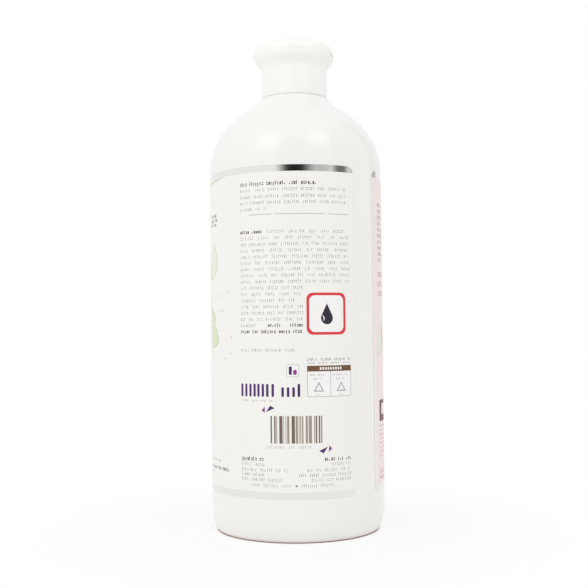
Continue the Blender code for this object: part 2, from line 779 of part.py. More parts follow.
def make_label(film, inks):
    """The film, wrapped round the body, with each field of its print as faces of its own."""
    width = 2 * math.pi * FILM_OUTER - LABEL_BARE_GAP
    height = LABEL_TOP - LABEL_BOTTOM
    shapes = tinted_panel(width, height) + leaf_picture() + rows_of_writing(height) + framed_drop()
    shapes += volume_strokes() + sorting_table() + stripes()
    shapes.append(("foil", rectangle(-width, 0, height - FOIL_TOP, height)))
    shapes.append(("foil", rectangle(-width, 0, 0, FOIL_BOTTOM)))
    columns = round(width / (2 * math.pi * FILM_OUTER) * BODY_SEGMENTS)
    outline = rounded(-width, 0, 0, height, LABEL_CORNER)

    points = []
    fields = []
    for polygon in [outline] + [polygon for _, polygon in shapes]:
        fields.append(list(range(len(points), len(points) + len(polygon))))
        points += polygon
    folds = []
    for column in range(1, columns):
        folds.append((len(points), len(points) + 1))
        across = -width * column / columns
        points += [(across, -LABEL_CORNER), (across, height + LABEL_CORNER)]
    flat_points = [Vector(point) for point in points]
    flat, _, cells, _, _, owners = delaunay_2d_cdt(flat_points, folds, fields, FROM_INSIDE, SAME_POINT, True)
    cells = [(cell, max(owner)) for cell, owner in zip(cells, owners) if 0 in owner]

    def wrapped(point, radius):
        """The film is flat between its folds, as the body's own facets are."""
        along = -point.x / width * columns
        column = min(math.floor(along), columns - 1)
        ends = []
        for fold in (column, column + 1):
            azimuth = LABEL_END_AZIMUTH - width * fold / columns / FILM_OUTER
            ends.append(Vector((math.sin(azimuth), -math.cos(azimuth), 0)) * radius)
        place = ends[0].lerp(ends[1], along - column)
        place.z = LABEL_BOTTOM + point.y
        return place

    names = list(inks)
    mesh = bpy.data.meshes.new("wrap_label")
    shape = bmesh.new()
    used = sorted({corner for cell, _ in cells for corner in cell})
    front = {corner: shape.verts.new(wrapped(flat[corner], FILM_OUTER)) for corner in used}
    back = {corner: shape.verts.new(wrapped(flat[corner], FILM_OUTER - FILM_THICKNESS)) for corner in used}
    edges = set()
    for cell, owner in cells:
        face = shape.faces.new([front[corner] for corner in cell])
        if owner > 0:
            face.material_index = 1 + names.index(shapes[owner - 1][0])
        shape.faces.new([back[corner] for corner in reversed(cell)])
        edges.update(zip(cell, cell[1:] + cell[:1]))
    for start, end in sorted(edges):
        if (end, start) not in edges:
            shape.faces.new((front[end], front[start], back[start], back[end]))
    shape.to_mesh(mesh)
    shape.free()
    label = finished(linked("wrap_label", mesh), film)
    for name in names:
        label.data.materials.append(inks[name])
    return label


def main():
    white_plastic = painted("white_plastic", (0.90, 0.90, 0.89), 0.32)
    cap_plastic = painted("cap_plastic", (0.90, 0.90, 0.88), 0.38)
    liquid = painted("pale_liquid", (0.93, 0.92, 0.86), 0.10)
    gasket = painted("foam_gasket", (0.86, 0.87, 0.86), 0.70)
    film = painted("white_film", (0.87, 0.87, 0.85), 0.35)
    inks = {
        "white": film,
        "foil": painted("silver_foil", (0.74, 0.75, 0.76), 0.18, 1.0),
        "grey": painted("grey_ink", (0.55, 0.54, 0.53), 0.45),
        "dark": painted("dark_ink", (0.22, 0.19, 0.20), 0.45),
        "ink": painted("navy_ink", (0.03, 0.03, 0.08), 0.45),
        "red": painted("red_ink", (0.74, 0.05, 0.05), 0.45),
        "purple": painted("purple_ink", (0.09, 0.03, 0.16), 0.45),
        "plum": painted("plum_ink", (0.12, 0.02, 0.08), 0.45),
        "maroon": painted("maroon_ink", (0.42, 0.25, 0.30), 0.45),
        "taupe": painted("taupe_ink", (0.27, 0.19, 0.14), 0.45),
        "pink": painted("pink_ink", (0.87, 0.77, 0.80), 0.38),
        "leaf": painted("leaf_ink", (0.64, 0.78, 0.55), 0.42),
        "olive": painted("olive_ink", (0.35, 0.42, 0.27), 0.42),
    }
    make_bottle(white_plastic)
    make_liquid(liquid)
    make_label(film, inks)
    cap_axis = axis_empty("cap_axis", (0, 0, SKIRT_FOOT))
    lid_axis = axis_empty("lid_axis", (HINGE_X, 0, HINGE_Z), cap_axis)
    carried(make_seal(gasket), cap_axis)
    carried(make_cap(cap_plastic), cap_axis)
    carried(make_lid(cap_plastic), lid_axis)


main()
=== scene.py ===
"""The looks of a one litre cleaner bottle: white blown shell, printed wrap-around film and flip-top cap."""

import math
import random

import bmesh
import bpy
from mathutils import Matrix, Vector
from mathutils.geometry import delaunay_2d_cdt


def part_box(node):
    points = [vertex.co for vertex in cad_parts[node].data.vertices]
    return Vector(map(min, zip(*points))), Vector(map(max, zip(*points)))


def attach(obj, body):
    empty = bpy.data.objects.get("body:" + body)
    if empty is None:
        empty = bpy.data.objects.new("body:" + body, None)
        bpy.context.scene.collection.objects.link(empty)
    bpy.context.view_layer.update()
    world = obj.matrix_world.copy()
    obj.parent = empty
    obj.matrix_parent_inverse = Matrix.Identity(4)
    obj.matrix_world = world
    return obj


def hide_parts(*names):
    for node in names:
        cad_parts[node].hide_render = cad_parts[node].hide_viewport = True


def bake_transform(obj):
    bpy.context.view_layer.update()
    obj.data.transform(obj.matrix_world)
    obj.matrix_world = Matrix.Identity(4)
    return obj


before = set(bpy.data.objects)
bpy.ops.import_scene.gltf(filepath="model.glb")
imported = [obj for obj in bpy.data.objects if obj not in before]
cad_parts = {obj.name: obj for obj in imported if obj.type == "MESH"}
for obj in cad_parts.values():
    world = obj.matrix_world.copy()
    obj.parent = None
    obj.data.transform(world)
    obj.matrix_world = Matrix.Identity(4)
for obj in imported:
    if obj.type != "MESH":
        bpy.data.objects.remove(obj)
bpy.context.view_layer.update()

MM = 0.001

# Sizes read from the frame
PLASTIC_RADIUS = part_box("bottle")[1].x
NECK_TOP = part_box("bottle")[1].z
LABEL_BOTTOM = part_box("wrap_label")[0].z
LABEL_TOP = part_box("wrap_label")[1].z
LID_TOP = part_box("flip_lid")[1].z
RIM_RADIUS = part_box("cap_base")[1].y

# Body of the bottle. Sizes are in metres, except in the print's layout. The body takes up the gap that the
# solids keep under the film.
FIT_GAP = 0.0003
TOUCH = 0.00002
BODY_RADIUS = PLASTIC_RADIUS + FIT_GAP
BODY_TOP = 0.1750
DOME_RISE = 0.0355
HEEL_REACH = 0.0039
HEEL_HEIGHT = 0.0130
FOOT_RING_WIDTH = 0.0025
PUSH_UP_HEIGHT = 0.0040
PUSH_UP_FLATNESS = 4
WALL = 0.0011
BASE_WALL = 0.0016
COLLAR_RADIUS = 0.0163
COLLAR_LAND = 0.0015
SHOULDER_FLARE = 0.0105
NECK_RADIUS = 0.0125
NECK_HEIGHT = 0.0160
NECK_BORE = 0.0104
CAVITY_FLARE = 0.0076
CAVITY_LAND = 0.0025
COLLAR_TOP = NECK_TOP - NECK_HEIGHT

# Thread
THREAD_PITCH = 0.00423
THREAD_DEPTH = 0.00115
THREAD_ROOT = 0.0022
THREAD_CREST = 0.0012
THREAD_RUNOUT = 0.0026
THREAD_TURNS = 1.5
THREAD_FOOT = NECK_TOP - THREAD_RUNOUT - THREAD_PITCH * THREAD_TURNS
THREAD_LEAD = math.radians(30)
THREAD_BURY = 0.25
CAP_THREAD_ROOT = 0.0018
CAP_THREAD_CREST = 0.0009
CAP_THREAD_START = math.radians(90)
CAP_THREAD_TURNS = 1.0
THREAD_GAP = 0.0003
CREST_GAP = 0.0005

# Cap and lid. The pieces really touch, so the looks close the gaps that the solids keep.
SEAM = 0.00002
COLLAR_SEAM = 0.00008
CAP_WALL = 0.0019
SKIRT_DRAFT = 0.0001
SKIRT_STRAIGHT = 0.0131
RIM_BAND = 0.0008
FLARE_LOW_PULL = 0.0032
FLARE_HIGH_PULL = 0.0030
SEAL_THICKNESS = 0.0010
DECK_THICKNESS = 0.0016
DECK_DEPTH = 0.00245
LIP_WIDTH = 0.0010
LIP_HEIGHT = 0.0009
PLUG_WALL = 0.0012
PLUG_LENGTH = 0.0048
NOZZLE_RADIUS = 0.0043
NOZZLE_DRAFT = 0.0006
NOZZLE_HEIGHT = 0.0045
ORIFICE_RADIUS = 0.0022
LID_WALL = 0.0012
LID_SIDE_PULL = 0.0050
LID_CROWN_PULL = 0.0120
PIN_REACH = 0.0024
PIN_ROOT_RADIUS = 0.0032
PIN_ROOT_ROOM = 0.0004
HINGE_OFFSET = 0.0002
HINGE_WIDTH = 0.0100
HINGE_PAD_HEIGHT = 0.0021
HINGE_PAD_BITE = 0.0009
HINGE_PAD_SLOPE = 0.0005
HINGE_PAD_ROUNDING = 0.0006
HINGE_PAD_SHARES = (0.0, 0.35, 0.7, 1.0)
HINGE_FILM_REACH = 0.0011
HINGE_FILM_MARGIN = 0.0008
HINGE_FILM_INSET = 0.00005
HINGE_FILM_THICK = 0.00032
HINGE_FILM_THIN = 0.00014
SCOOP_WIDTH = 0.0116
SCOOP_DEPTH = 0.0010
SCOOP_HEIGHT = 0.0014
DECK_BOTTOM = NECK_TOP + FIT_GAP + SEAL_THICKNESS + FIT_GAP
DECK_TOP = DECK_BOTTOM + DECK_THICKNESS
RIM_TOP = DECK_TOP + DECK_DEPTH
NOZZLE_TOP = DECK_TOP + NOZZLE_HEIGHT
HINGE_X = -(RIM_RADIUS + HINGE_OFFSET)
HINGE_Z = RIM_TOP + FIT_GAP / 2

# Fillets
SEAM_FILLET = 0.00005
CREASE_FILLET = 0.0001
FINE_FILLET = 0.0002
FOOT_FILLET = 0.00025
SMALL_FILLET = 0.0003
SOFT_FILLET = 0.0004
ROUND_FILLET = 0.0005
PIN_FILLET = 0.0006

# Label
FILM_THICKNESS = 0.00006
FILM_OUTER = BODY_RADIUS + TOUCH + FILM_THICKNESS
LABEL_BARE_GAP = 0.0150
LABEL_END_AZIMUTH = math.radians(53.8)
LABEL_CORNER = 0.0030
LABEL_COLUMNS = 190
FOIL_TOP = 0.0030
FOIL_BOTTOM = 0.0032

# Fineness. The outside's and the cavity's steps are those of the heel, the dome and the throat.
BODY_SEGMENTS = 192
CAP_SEGMENTS = 160
THREAD_STEPS = 72
FOOT_STEPS = 14
CAVITY_FOOT_STEPS = 6
OUTSIDE_STEPS = (14, 36, 14)
CAVITY_STEPS = (6, 16, 8)
FLARE_STEPS = 24
LID_STEPS = 40
LID_CAVITY_STEPS = 24
PAD_CORNER_STEPS = 4
HINGE_FILM_GRID = (16, 12)
LABEL_CORNER_STEPS = 10
SPHERE_SEGMENTS = 64
ON_AXIS = 1e-7
CORNER_SHARE = 0.49
CREASE = math.radians(32)

# Camera, fitted to the photograph
IMAGE_SIDE = 588
FOCAL_PIXELS = 988
SENSOR = 36
CAMERA_DISTANCE = 0.4903
CAMERA_HEIGHT = 0.0975
CAMERA_AZIMUTH = math.radians(15)
CAMERA_YAW = math.radians(0.14)
CAMERA_PITCH = math.radians(1.98)
CAMERA_ROLL = math.radians(-0.55)
CLIP_START = 0.01
CLIP_END = 50

# Light. The sky's values are shares of its strength.
SKY_STRENGTH = 0.968
SKY_LEFT = 1.10
SKY_RIGHT = 0.90
SKY_LOW = 1.03
SKY_TOP = 0.76
SKY_FALLS_FROM = 0.1
SOFTBOX_DISTANCE = 0.90
SOFTBOX_SIZE = (0.40, 0.34)

# Softboxes: name, azimuth, elevation and power
SOFTBOXES = (
    ("left_softbox", -27, 40, 0.78),
    ("right_softbox", 54, 45, 0.92),
)
CARD_LOW = 0.03
CARD_HIGH = 1.1
CARD_EDGE = 0.36
CARD_COLOUR = (0.01, 0.01, 0.012)

# Dark cards: name, azimuth, width, distance and darkness
DARK_CARDS = (
    ("camera_side_card", 14.5, 0.76, 0.75, 1.0),
    ("between_card", 44, 0.80, 0.80, 0.4),
    ("room_side_card", 75, 0.40, 0.75, 0.85),
    ("far_side_card", 97, 0.26, 0.75, 0.5),
    ("edge_card", 140, 0.26, 0.75, 0.5),
)

# Floor
FOOT_RADIUS = BODY_RADIUS - HEEL_REACH
# Painted shadow: the floor's colour is a dark reddish brown where the foot stands, and fades to the floor's
# white over the next few millimetres.
PAINTED_SHADOW_COLOUR = (0.46, 0.16, 0.14)
PAINTED_SHADOW_REACH = 0.0026
CONTACT_START = 0.0004
CONTACT_END = 0.0021
FLOOR_COLOUR = (0.97, 0.96, 0.955)
FLOOR_ROUGHNESS = 0.9
FLOOR_NEAR_WHITE = 0.75
FLOOR_FAR = 0.16
FLOOR_REACH = 6.0

# Finish of the surfaces
NOISE_MIDDLE = (0.15, 0.85)
PATCH_DETAIL = 4.0
GLOSS_SCALE = 3
GLOSS_DETAIL = 2.0
GLOSS_SWING = 0.03
GRAIN_DETAIL = 2.0
GRAIN_STRENGTH = 0.5
WAVE_DETAIL = 1.0
WAVE_STRETCH = (1, 1, 0.35)


def bezier(points, count):
    """Points along a Bezier curve of any degree, without its first point."""
    curve = []
    for step in range(1, count + 1):
        share = step / count
        row = [Vector(point) for point in points]
        while len(row) > 1:
            row = [a.lerp(b, share) for a, b in zip(row, row[1:])]
        curve.append(tuple(row[0]))
    return curve


def filleted(corners, steps=5):
    """A profile whose corners (radius, height, fillet) are turned into arcs where the fillet isn't 0."""
    profile = []
    count = len(corners)
    for index, (x, y, fillet) in enumerate(corners):
        here = Vector((x, y))
        if fillet == 0:
            profile.append((x, y))
            continue
        before = Vector(corners[index - 1][:2]) - here
        after = Vector(corners[(index + 1) % count][:2]) - here
        angle = before.angle(after)
        back = min(fillet / math.tan(angle / 2), before.length * CORNER_SHARE, after.length * CORNER_SHARE)
        start = here + before.normalized() * back
        end = here + after.normalized() * back
        profile.append(tuple(start))
        profile += bezier([start, here, end], steps)
    return profile


def linked(name, mesh):
    made = bpy.data.objects.new(name, mesh)
    bpy.context.scene.collection.objects.link(made)
    return made


def linked_shape(name, shape):
    """The bmesh as an object, with its faces turned outwards."""
    mesh = bpy.data.meshes.new(name)
    bmesh.ops.recalc_face_normals(shape, faces=shape.faces)
    shape.to_mesh(mesh)
    shape.free()
    return linked(name, mesh)


def revolved(name, profile, segments, closed):
    """A solid of revolution. A profile that isn't closed begins and ends on the axis."""
    shape = bmesh.new()
    rings = []
    for radius, height in profile:
        if radius < ON_AXIS:
            rings.append([shape.verts.new((0, 0, height))] * segments)
            continue
        ring = []
        for step in range(segments):
            angle = 2 * math.pi * step / segments
            ring.append(shape.verts.new((radius * math.cos(angle), radius * math.sin(angle), height)))
        rings.append(ring)
    pairs = list(zip(rings, rings[1:]))
    if closed:
        pairs.append((rings[-1], rings[0]))
    for low, high in pairs:
        for step in range(segments):
            beside = (step + 1) % segments
            corners = []
            for corner in (low[step], low[beside], high[beside], high[step]):
                if corner not in corners:
                    corners.append(corner)
            shape.faces.new(corners)
    return linked_shape(name, shape)


def lofted(name, sections):
    """A solid through sections that have the same number of corners, with both ends filled."""
    shape = bmesh.new()
    rings = [[shape.verts.new(point) for point in section] for section in sections]
    count = len(rings[0])
    for low, high in zip(rings, rings[1:]):
        for step in range(count):
            beside = (step + 1) % count
            shape.faces.new((low[step], low[beside], high[beside], high[step]))
    shape.faces.new(rings[0])
    shape.faces.new(rings[-1])
    return linked_shape(name, shape)


def thread_ridge(name, wall, crest, root_width, crest_width, start, first_height, turns, bury):
    """A helical ridge from wall to crest, sunk into the wall by bury, that fades out at both ends."""
    sweep = 2 * math.pi * turns
    count = round(THREAD_STEPS * turns)
    outward = math.copysign(1, crest - wall)
    sections = []
    for step in range(count + 1):
        along = sweep * step / count
        fade = min(1.0, along / THREAD_LEAD, (sweep - along) / THREAD_LEAD)
        angle = start + along
        height = first_height + THREAD_PITCH * along / (2 * math.pi)
        deep = wall - outward * bury
        tip = wall - outward * bury / 2
        reach = tip + (crest - tip) * math.sin(fade * math.pi / 2)
        section = []
        for radius, offset in (
            (deep, -root_width / 2),
            (reach, -crest_width / 2),
            (reach, crest_width / 2),
            (deep, root_width / 2),
        ):
            section.append((radius * math.cos(angle), radius * math.sin(angle), height + offset))
        sections.append(section)
    return lofted(name, sections)


def combined(target, others):
    """Runs Booleans with the other shapes, keeps the result in target and removes the others."""
    for other, operation in others:
        step = target.modifiers.new(other.name, "BOOLEAN")
        step.operation = operation
        step.solver = "EXACT"
        step.object = other
    graph = bpy.context.evaluated_depsgraph_get()
    graph.update()
    mesh = bpy.data.meshes.new_from_object(target.evaluated_get(graph))
    target.modifiers.clear()
    target.data = mesh
    for other, _ in others:
        bpy.data.objects.remove(other, do_unlink=True)
    return target


def shaded(made, material):
    made.data.materials.clear()
    made.data.materials.append(material)
    made.data.shade_smooth()
    made.data.set_sharp_from_angle(angle=CREASE)
    return made


# Materials


def blank_material(name):
    material = bpy.data.materials.new(name)
    material.use_nodes = True
    tree = material.node_tree
    return material, tree, tree.nodes["Principled BSDF"]


def added(tree, kind, inputs=None, **settings):
    """A new node with these settings. Each input is a value, or the output of another node."""
    node = tree.nodes.new("ShaderNode" + kind)
    for name, setting in settings.items():
        setattr(node, name, setting)
    for socket, given in (inputs or {}).items():
        if isinstance(given, bpy.types.NodeSocket):
            tree.links.new(given, node.inputs[socket])
        else:
            node.inputs[socket].default_value = given
    return node


def noise(tree, scale, detail, stretch=None):
    """A noise texture on the piece's own coordinates, in metres."""
    place = added(tree, "TexCoord").outputs["Object"]
    if stretch:
        place = added(tree, "Mapping", {"Vector": place, "Scale": stretch}).outputs["Vector"]
    return added(tree, "TexNoise", {"Vector": place, "Scale": scale, "Detail": detail}).outputs["Fac"]


def spread(tree, value, start, end, at_start, at_end, kind="LINEAR"):
    """A value that goes from at_start to at_end while the given one goes from start to end."""
    inputs = {"Value": value, "From Min": start, "From Max": end, "To Min": at_start, "To Max": at_end}
    return added(tree, "MapRange", inputs, interpolation_type=kind).outputs["Result"]


def between(tree, factor, low, high):
    """The middle range of a noise, spread from low to high."""
    return spread(tree, factor, *NOISE_MIDDLE, low, high, "SMOOTHERSTEP")


def show_mixed(tree, output, share, first, second):
    mix = added(tree, "MixShader", {"Fac": share, 1: first, 2: second})
    tree.links.new(mix.outputs["Shader"], tree.nodes[output].inputs["Surface"])


def tinted(tree, factor, first, second):
    inputs = {"Factor": factor, "A": (*first, 1), "B": (*second, 1)}
    return added(tree, "Mix", inputs, data_type="RGBA").outputs["Result"]


def generated(tree, axis):
    """A coordinate that runs from 0 to 1 across a card, and from -1 to 1 over the world's directions."""
    place = added(tree, "TexCoord").outputs["Generated"]
    return added(tree, "SeparateXYZ", {"Vector": place}).outputs[axis]


def bumped(tree, factor, distance, strength, below=None):
    inputs = {"Height": factor, "Distance": distance, "Strength": strength}
    if below is not None:
        inputs["Normal"] = below
    return added(tree, "Bump", inputs).outputs["Normal"]


def surface(name, colour, shift, roughness, patch, grain, grain_depth, metallic=0.0, wave=None):
    """A finish with slow patches of tone and gloss, a fine grain and, where wave is given, long waves."""
    material, tree, shader = blank_material(name)
    other = tuple(min(1.0, channel * (1 + shift)) for channel in colour)
    tone = between(tree, noise(tree, patch, PATCH_DETAIL), 0.0, 1.0)
    tree.links.new(tinted(tree, tone, colour, other), shader.inputs["Base Color"])
    flecks = noise(tree, patch * GLOSS_SCALE, GLOSS_DETAIL)
    gloss = between(tree, flecks, roughness - GLOSS_SWING, roughness + GLOSS_SWING)
    tree.links.new(gloss, shader.inputs["Roughness"])
    shader.inputs["Metallic"].default_value = metallic
    normal = bumped(tree, noise(tree, grain, GRAIN_DETAIL), grain_depth, GRAIN_STRENGTH)
    if wave:
        scale, depth = wave
        normal = bumped(tree, noise(tree, scale, WAVE_DETAIL, WAVE_STRETCH), depth, 1.0, normal)
    tree.links.new(normal, shader.inputs["Normal"])
    return material


# Finishes: name, colour, shift of tone, roughness, scales of the patches and the grain, depth of the grain,
# share of metal, and the waves' scale and depth
FINISHES = {
    "bottle": ("bottle_plastic", (0.890, 0.888, 0.864), 0.008, 0.24, 22, 1500, 0.00001, 0.0, (45, 0.00006)),
    "cap": ("cap_plastic", (0.940, 0.940, 0.912), 0.008, 0.36, 60, 2600, 0.00002),
    "gasket": ("foam_gasket", (0.84, 0.85, 0.84), 0.05, 0.75, 400, 3000, 0.00006),
    "liquid": ("pale_liquid", (0.90, 0.89, 0.80), 0.03, 0.08, 30, 200, 0.00002),
    "film": ("label_film", (0.900, 0.895, 0.862), 0.008, 0.40, 30, 1800, 0.00001, 0.0, (60, 0.00006)),
    "foil": ("silver_foil", (0.80, 0.79, 0.768), 0.02, 0.14, 60, 900, 0.0000005, 1.0, (70, 0.00001)),
}
INK_FINISH = (0.02, 0.42, 120, 2600, 0.00001)
INKS = {
    "text": (0.44, 0.41, 0.38),
    "bold": (0.11, 0.07, 0.08),
    "rule": (0.45, 0.44, 0.43),
    "white": (0.915, 0.905, 0.90),
    "red": (0.72, 0.035, 0.045),
    "navy": (0.020, 0.015, 0.040),
    "purple": (0.060, 0.012, 0.130),
    "magenta": (0.26, 0.03, 0.24),
    "brown": (0.165, 0.075, 0.030),
    "taupe": (0.36, 0.30, 0.24),
    "umber": (0.17, 0.12, 0.10),
    "pink": (0.900, 0.790, 0.790),
    "rose": (0.52, 0.34, 0.36),
    "plum": (0.130, 0.016, 0.045),
    "leaf": (0.70, 0.80, 0.54),
    "pale_leaf": (0.80, 0.86, 0.70),
    "olive": (0.34, 0.38, 0.22),
    "blush": (0.90, 0.81, 0.79),
    "salmon": (0.78, 0.42, 0.34),
}


def make_materials():
    made = {key: surface(*finish) for key, finish in FINISHES.items()}
    for ink, colour in INKS.items():
        made[ink] = surface(ink + "_ink", colour, *INK_FINISH)
    return made


# Bottle


def foot_curve(lift, count):
    """The push-up from the middle of the base out to the standing ring's inner edge."""
    edge = BODY_RADIUS - HEEL_REACH - FOOT_RING_WIDTH
    curve = []
    for step in range(count + 1):
        share = math.sin(math.pi / 2 * step / count)
        curve.append((edge * share, lift + PUSH_UP_HEIGHT * (1 - share**PUSH_UP_FLATNESS)))
    return curve


def side_curve(inset, lift, mouth, flare, land, heel_steps, dome_steps, throat_steps):
    """From the standing ring's outer edge up the heel, the body and the dome to the mouth."""
    heel_middle = BODY_RADIUS - HEEL_REACH
    curve = [(heel_middle, lift)]
    for step in range(1, heel_steps + 1):
        angle = math.pi / 2 * step / heel_steps
        radius = heel_middle + (HEEL_REACH - inset) * math.sin(angle)
        curve.append((radius, HEEL_HEIGHT - (HEEL_HEIGHT - lift) * math.cos(angle)))
    wide = BODY_RADIUS - inset
    high = DOME_RISE - inset
    last = math.acos((mouth + flare) / wide)
    for step in range(dome_steps + 1):
        angle = last * step / dome_steps
        curve.append((wide * math.cos(angle), BODY_TOP + high * math.sin(angle)))
    radius, height = curve[-1]
    slope = high / wide / math.tan(last)
    turn = height + slope * flare
    curve += bezier([(radius, height), (mouth, turn), (mouth, turn + land)], throat_steps)
    return curve


def make_bottle(material):
    neck = filleted(
        [
            (COLLAR_RADIUS, COLLAR_TOP - COLLAR_LAND, 0),
            (COLLAR_RADIUS, COLLAR_TOP, SMALL_FILLET),
            (NECK_RADIUS, COLLAR_TOP, SOFT_FILLET),
            (NECK_RADIUS, NECK_TOP, ROUND_FILLET),
            (NECK_BORE, NECK_TOP, ROUND_FILLET),
            (NECK_BORE, COLLAR_TOP, 0),
        ]
    )[1:-1]
    outside = side_curve(0, 0, COLLAR_RADIUS, SHOULDER_FLARE, COLLAR_LAND, *OUTSIDE_STEPS)[:-1]
    cavity = side_curve(WALL, BASE_WALL, NECK_BORE, CAVITY_FLARE, CAVITY_LAND, *CAVITY_STEPS)
    profile = foot_curve(0, FOOT_STEPS) + outside + neck
    profile += reversed(foot_curve(BASE_WALL, CAVITY_FOOT_STEPS) + cavity)
    bottle = revolved("bottle_shell", profile, BODY_SEGMENTS, closed=False)
    reach = (NECK_RADIUS, NECK_RADIUS + THREAD_DEPTH)
    bury = (NECK_RADIUS - NECK_BORE) * THREAD_BURY
    start = (0.0, THREAD_FOOT)
    ridge = thread_ridge("neck_thread", *reach, THREAD_ROOT, THREAD_CREST, *start, THREAD_TURNS, bury)
    return shaded(combined(bottle, [(ridge, "UNION")]), material)


# Cap


def cap_profile():
    """The cap's lower half in section: up the outside, over the rim and the deck, and down the inside."""
    foot = COLLAR_TOP + COLLAR_SEAM
    straight_top = COLLAR_TOP + FIT_GAP + SKIRT_STRAIGHT
    waist = COLLAR_RADIUS - SKIRT_DRAFT
    band_foot = RIM_TOP - RIM_BAND
    bore = COLLAR_RADIUS - CAP_WALL
    lip_radius = RIM_RADIUS - LID_WALL - FIT_GAP
    lip_inner = lip_radius - LIP_WIDTH
    lip_top = RIM_TOP + LIP_HEIGHT
    plug_outer = NECK_BORE - FIT_GAP
    plug_inner = plug_outer - PLUG_WALL
    plug_foot = DECK_BOTTOM - PLUG_LENGTH
    low_pull = straight_top + FLARE_LOW_PULL
    high_pull = band_foot - FLARE_HIGH_PULL
    flare = [(waist, straight_top), (waist, low_pull), (RIM_RADIUS, high_pull), (RIM_RADIUS, band_foot)]
    corners = [(bore, foot, SOFT_FILLET), (COLLAR_RADIUS, foot, FOOT_FILLET)]
    corners += [(radius, height, 0) for radius, height in [flare[0]] + bezier(flare, FLARE_STEPS)]
    corners += [
        (RIM_RADIUS, RIM_TOP, SEAM_FILLET),
        (lip_radius, RIM_TOP, CREASE_FILLET),
        (lip_radius, lip_top, SOFT_FILLET),
        (lip_inner, lip_top, FINE_FILLET),
        (lip_inner, DECK_TOP, ROUND_FILLET),
        (NOZZLE_RADIUS + NOZZLE_DRAFT, DECK_TOP, ROUND_FILLET),
        (NOZZLE_RADIUS, NOZZLE_TOP, ROUND_FILLET),
        (ORIFICE_RADIUS, NOZZLE_TOP, SOFT_FILLET),
        (ORIFICE_RADIUS, DECK_BOTTOM, FINE_FILLET),
        (plug_inner, DECK_BOTTOM, SMALL_FILLET),
        (plug_inner, plug_foot, FINE_FILLET),
        (plug_outer, plug_foot, ROUND_FILLET),
        (plug_outer, DECK_BOTTOM, FINE_FILLET),
        (bore, DECK_BOTTOM, SMALL_FILLET),
    ]
    return filleted(corners)


def hinge_pad(name, root, tip):
    """A block that carries a rim out to the straight hinge line at root, and draws in towards tip."""
    inner = HINGE_X + HINGE_OFFSET + HINGE_PAD_BITE
    half = HINGE_WIDTH / 2
    rounding = HINGE_PAD_ROUNDING
    sections = []
    for share in HINGE_PAD_SHARES:
        height = root + (tip - root) * share
        outer = HINGE_X + HINGE_PAD_SLOPE * share**2
        right = [(outer + rounding, -half), (outer, -half), (outer, rounding - half)]
        left = [(outer, half - rounding), (outer, half), (outer + rounding, half)]
        corners = [(inner, -half)] + bezier(right, PAD_CORNER_STEPS)
        corners += bezier(left, PAD_CORNER_STEPS) + [(inner, half)]
        sections.append([(x, y, height) for x, y in corners])
    return lofted(name, sections)


def thumb_scoop():
    """An ellipsoid that bites a shallow hollow out of the rim's upper edge."""
    shape = bmesh.new()
    bmesh.ops.create_uvsphere(shape, u_segments=SPHERE_SEGMENTS, v_segments=SPHERE_SEGMENTS // 2, radius=1)
    scoop = linked_shape("thumb_scoop", shape)
    outside = SCOOP_DEPTH / 2
    size = (SCOOP_DEPTH + outside, SCOOP_WIDTH / 2, SCOOP_HEIGHT)
    centre = (RIM_RADIUS + outside, 0, RIM_TOP)
    scoop.data.transform(Matrix.Translation(centre) @ Matrix.Diagonal((*size, 1)))
    return scoop


def make_cap(material):
    cap = revolved("cap_lower", cap_profile(), CAP_SEGMENTS, closed=True)
    bore = COLLAR_RADIUS - CAP_WALL
    offset = THREAD_ROOT / 2 + CAP_THREAD_CREST / 2 + THREAD_GAP
    ridge = thread_ridge(
        "cap_thread",
        bore,
        NECK_RADIUS + CREST_GAP,
        CAP_THREAD_ROOT,
        CAP_THREAD_CREST,
        CAP_THREAD_START,
        THREAD_FOOT + THREAD_PITCH * CAP_THREAD_START / (2 * math.pi) - offset,
        CAP_THREAD_TURNS,
        CAP_WALL * THREAD_BURY,
    )
    pad = hinge_pad("cap_hinge_pad", RIM_TOP, RIM_TOP - HINGE_PAD_HEIGHT)
    others = [(ridge, "UNION"), (pad, "UNION"), (thumb_scoop(), "DIFFERENCE")]
    return shaded(combined(cap, others), material)


def lid_curve(radius, foot, top, side_pull, crown_pull, count):
    """The dome's section from its rim to its middle."""
    pulls = [(radius, foot), (radius, foot + side_pull), (crown_pull, top), (0, top)]
    return [(radius, foot)] + bezier(pulls, count)


def make_lid(material):
    foot = RIM_TOP + SEAM
    dome_foot = RIM_TOP + FIT_GAP
    outer = lid_curve(RIM_RADIUS, dome_foot, LID_TOP, LID_SIDE_PULL, LID_CROWN_PULL, LID_STEPS)
    inner_radius = RIM_RADIUS - LID_WALL
    roof = LID_TOP - LID_WALL
    side_pull = LID_SIDE_PULL - LID_WALL
    inner = lid_curve(inner_radius, dome_foot, roof, side_pull, LID_CROWN_PULL, LID_CAVITY_STEPS)
    pin = ORIFICE_RADIUS - FIT_GAP
    pin_foot = NOZZLE_TOP - PIN_REACH
    corners = [(radius, height, 0) for radius, height in reversed(outer)]
    corners += [(RIM_RADIUS, foot, SEAM_FILLET), (inner_radius, foot, FINE_FILLET)]
    clear = PIN_ROOT_RADIUS + PIN_ROOT_ROOM
    corners += [(radius, height, 0) for radius, height in inner[1:] if radius > clear]
    corners += [
        (PIN_ROOT_RADIUS, roof, SMALL_FILLET),
        (pin, NOZZLE_TOP, PIN_FILLET),
        (pin, pin_foot, ROUND_FILLET),
        (0, pin_foot, 0),
    ]
    lid = revolved("cap_lid", filleted(corners), CAP_SEGMENTS, closed=False)
    pad = hinge_pad("lid_hinge_pad", RIM_TOP + FIT_GAP, RIM_TOP + FIT_GAP + HINGE_PAD_HEIGHT)
    return shaded(combined(lid, [(pad, "UNION")]), material)


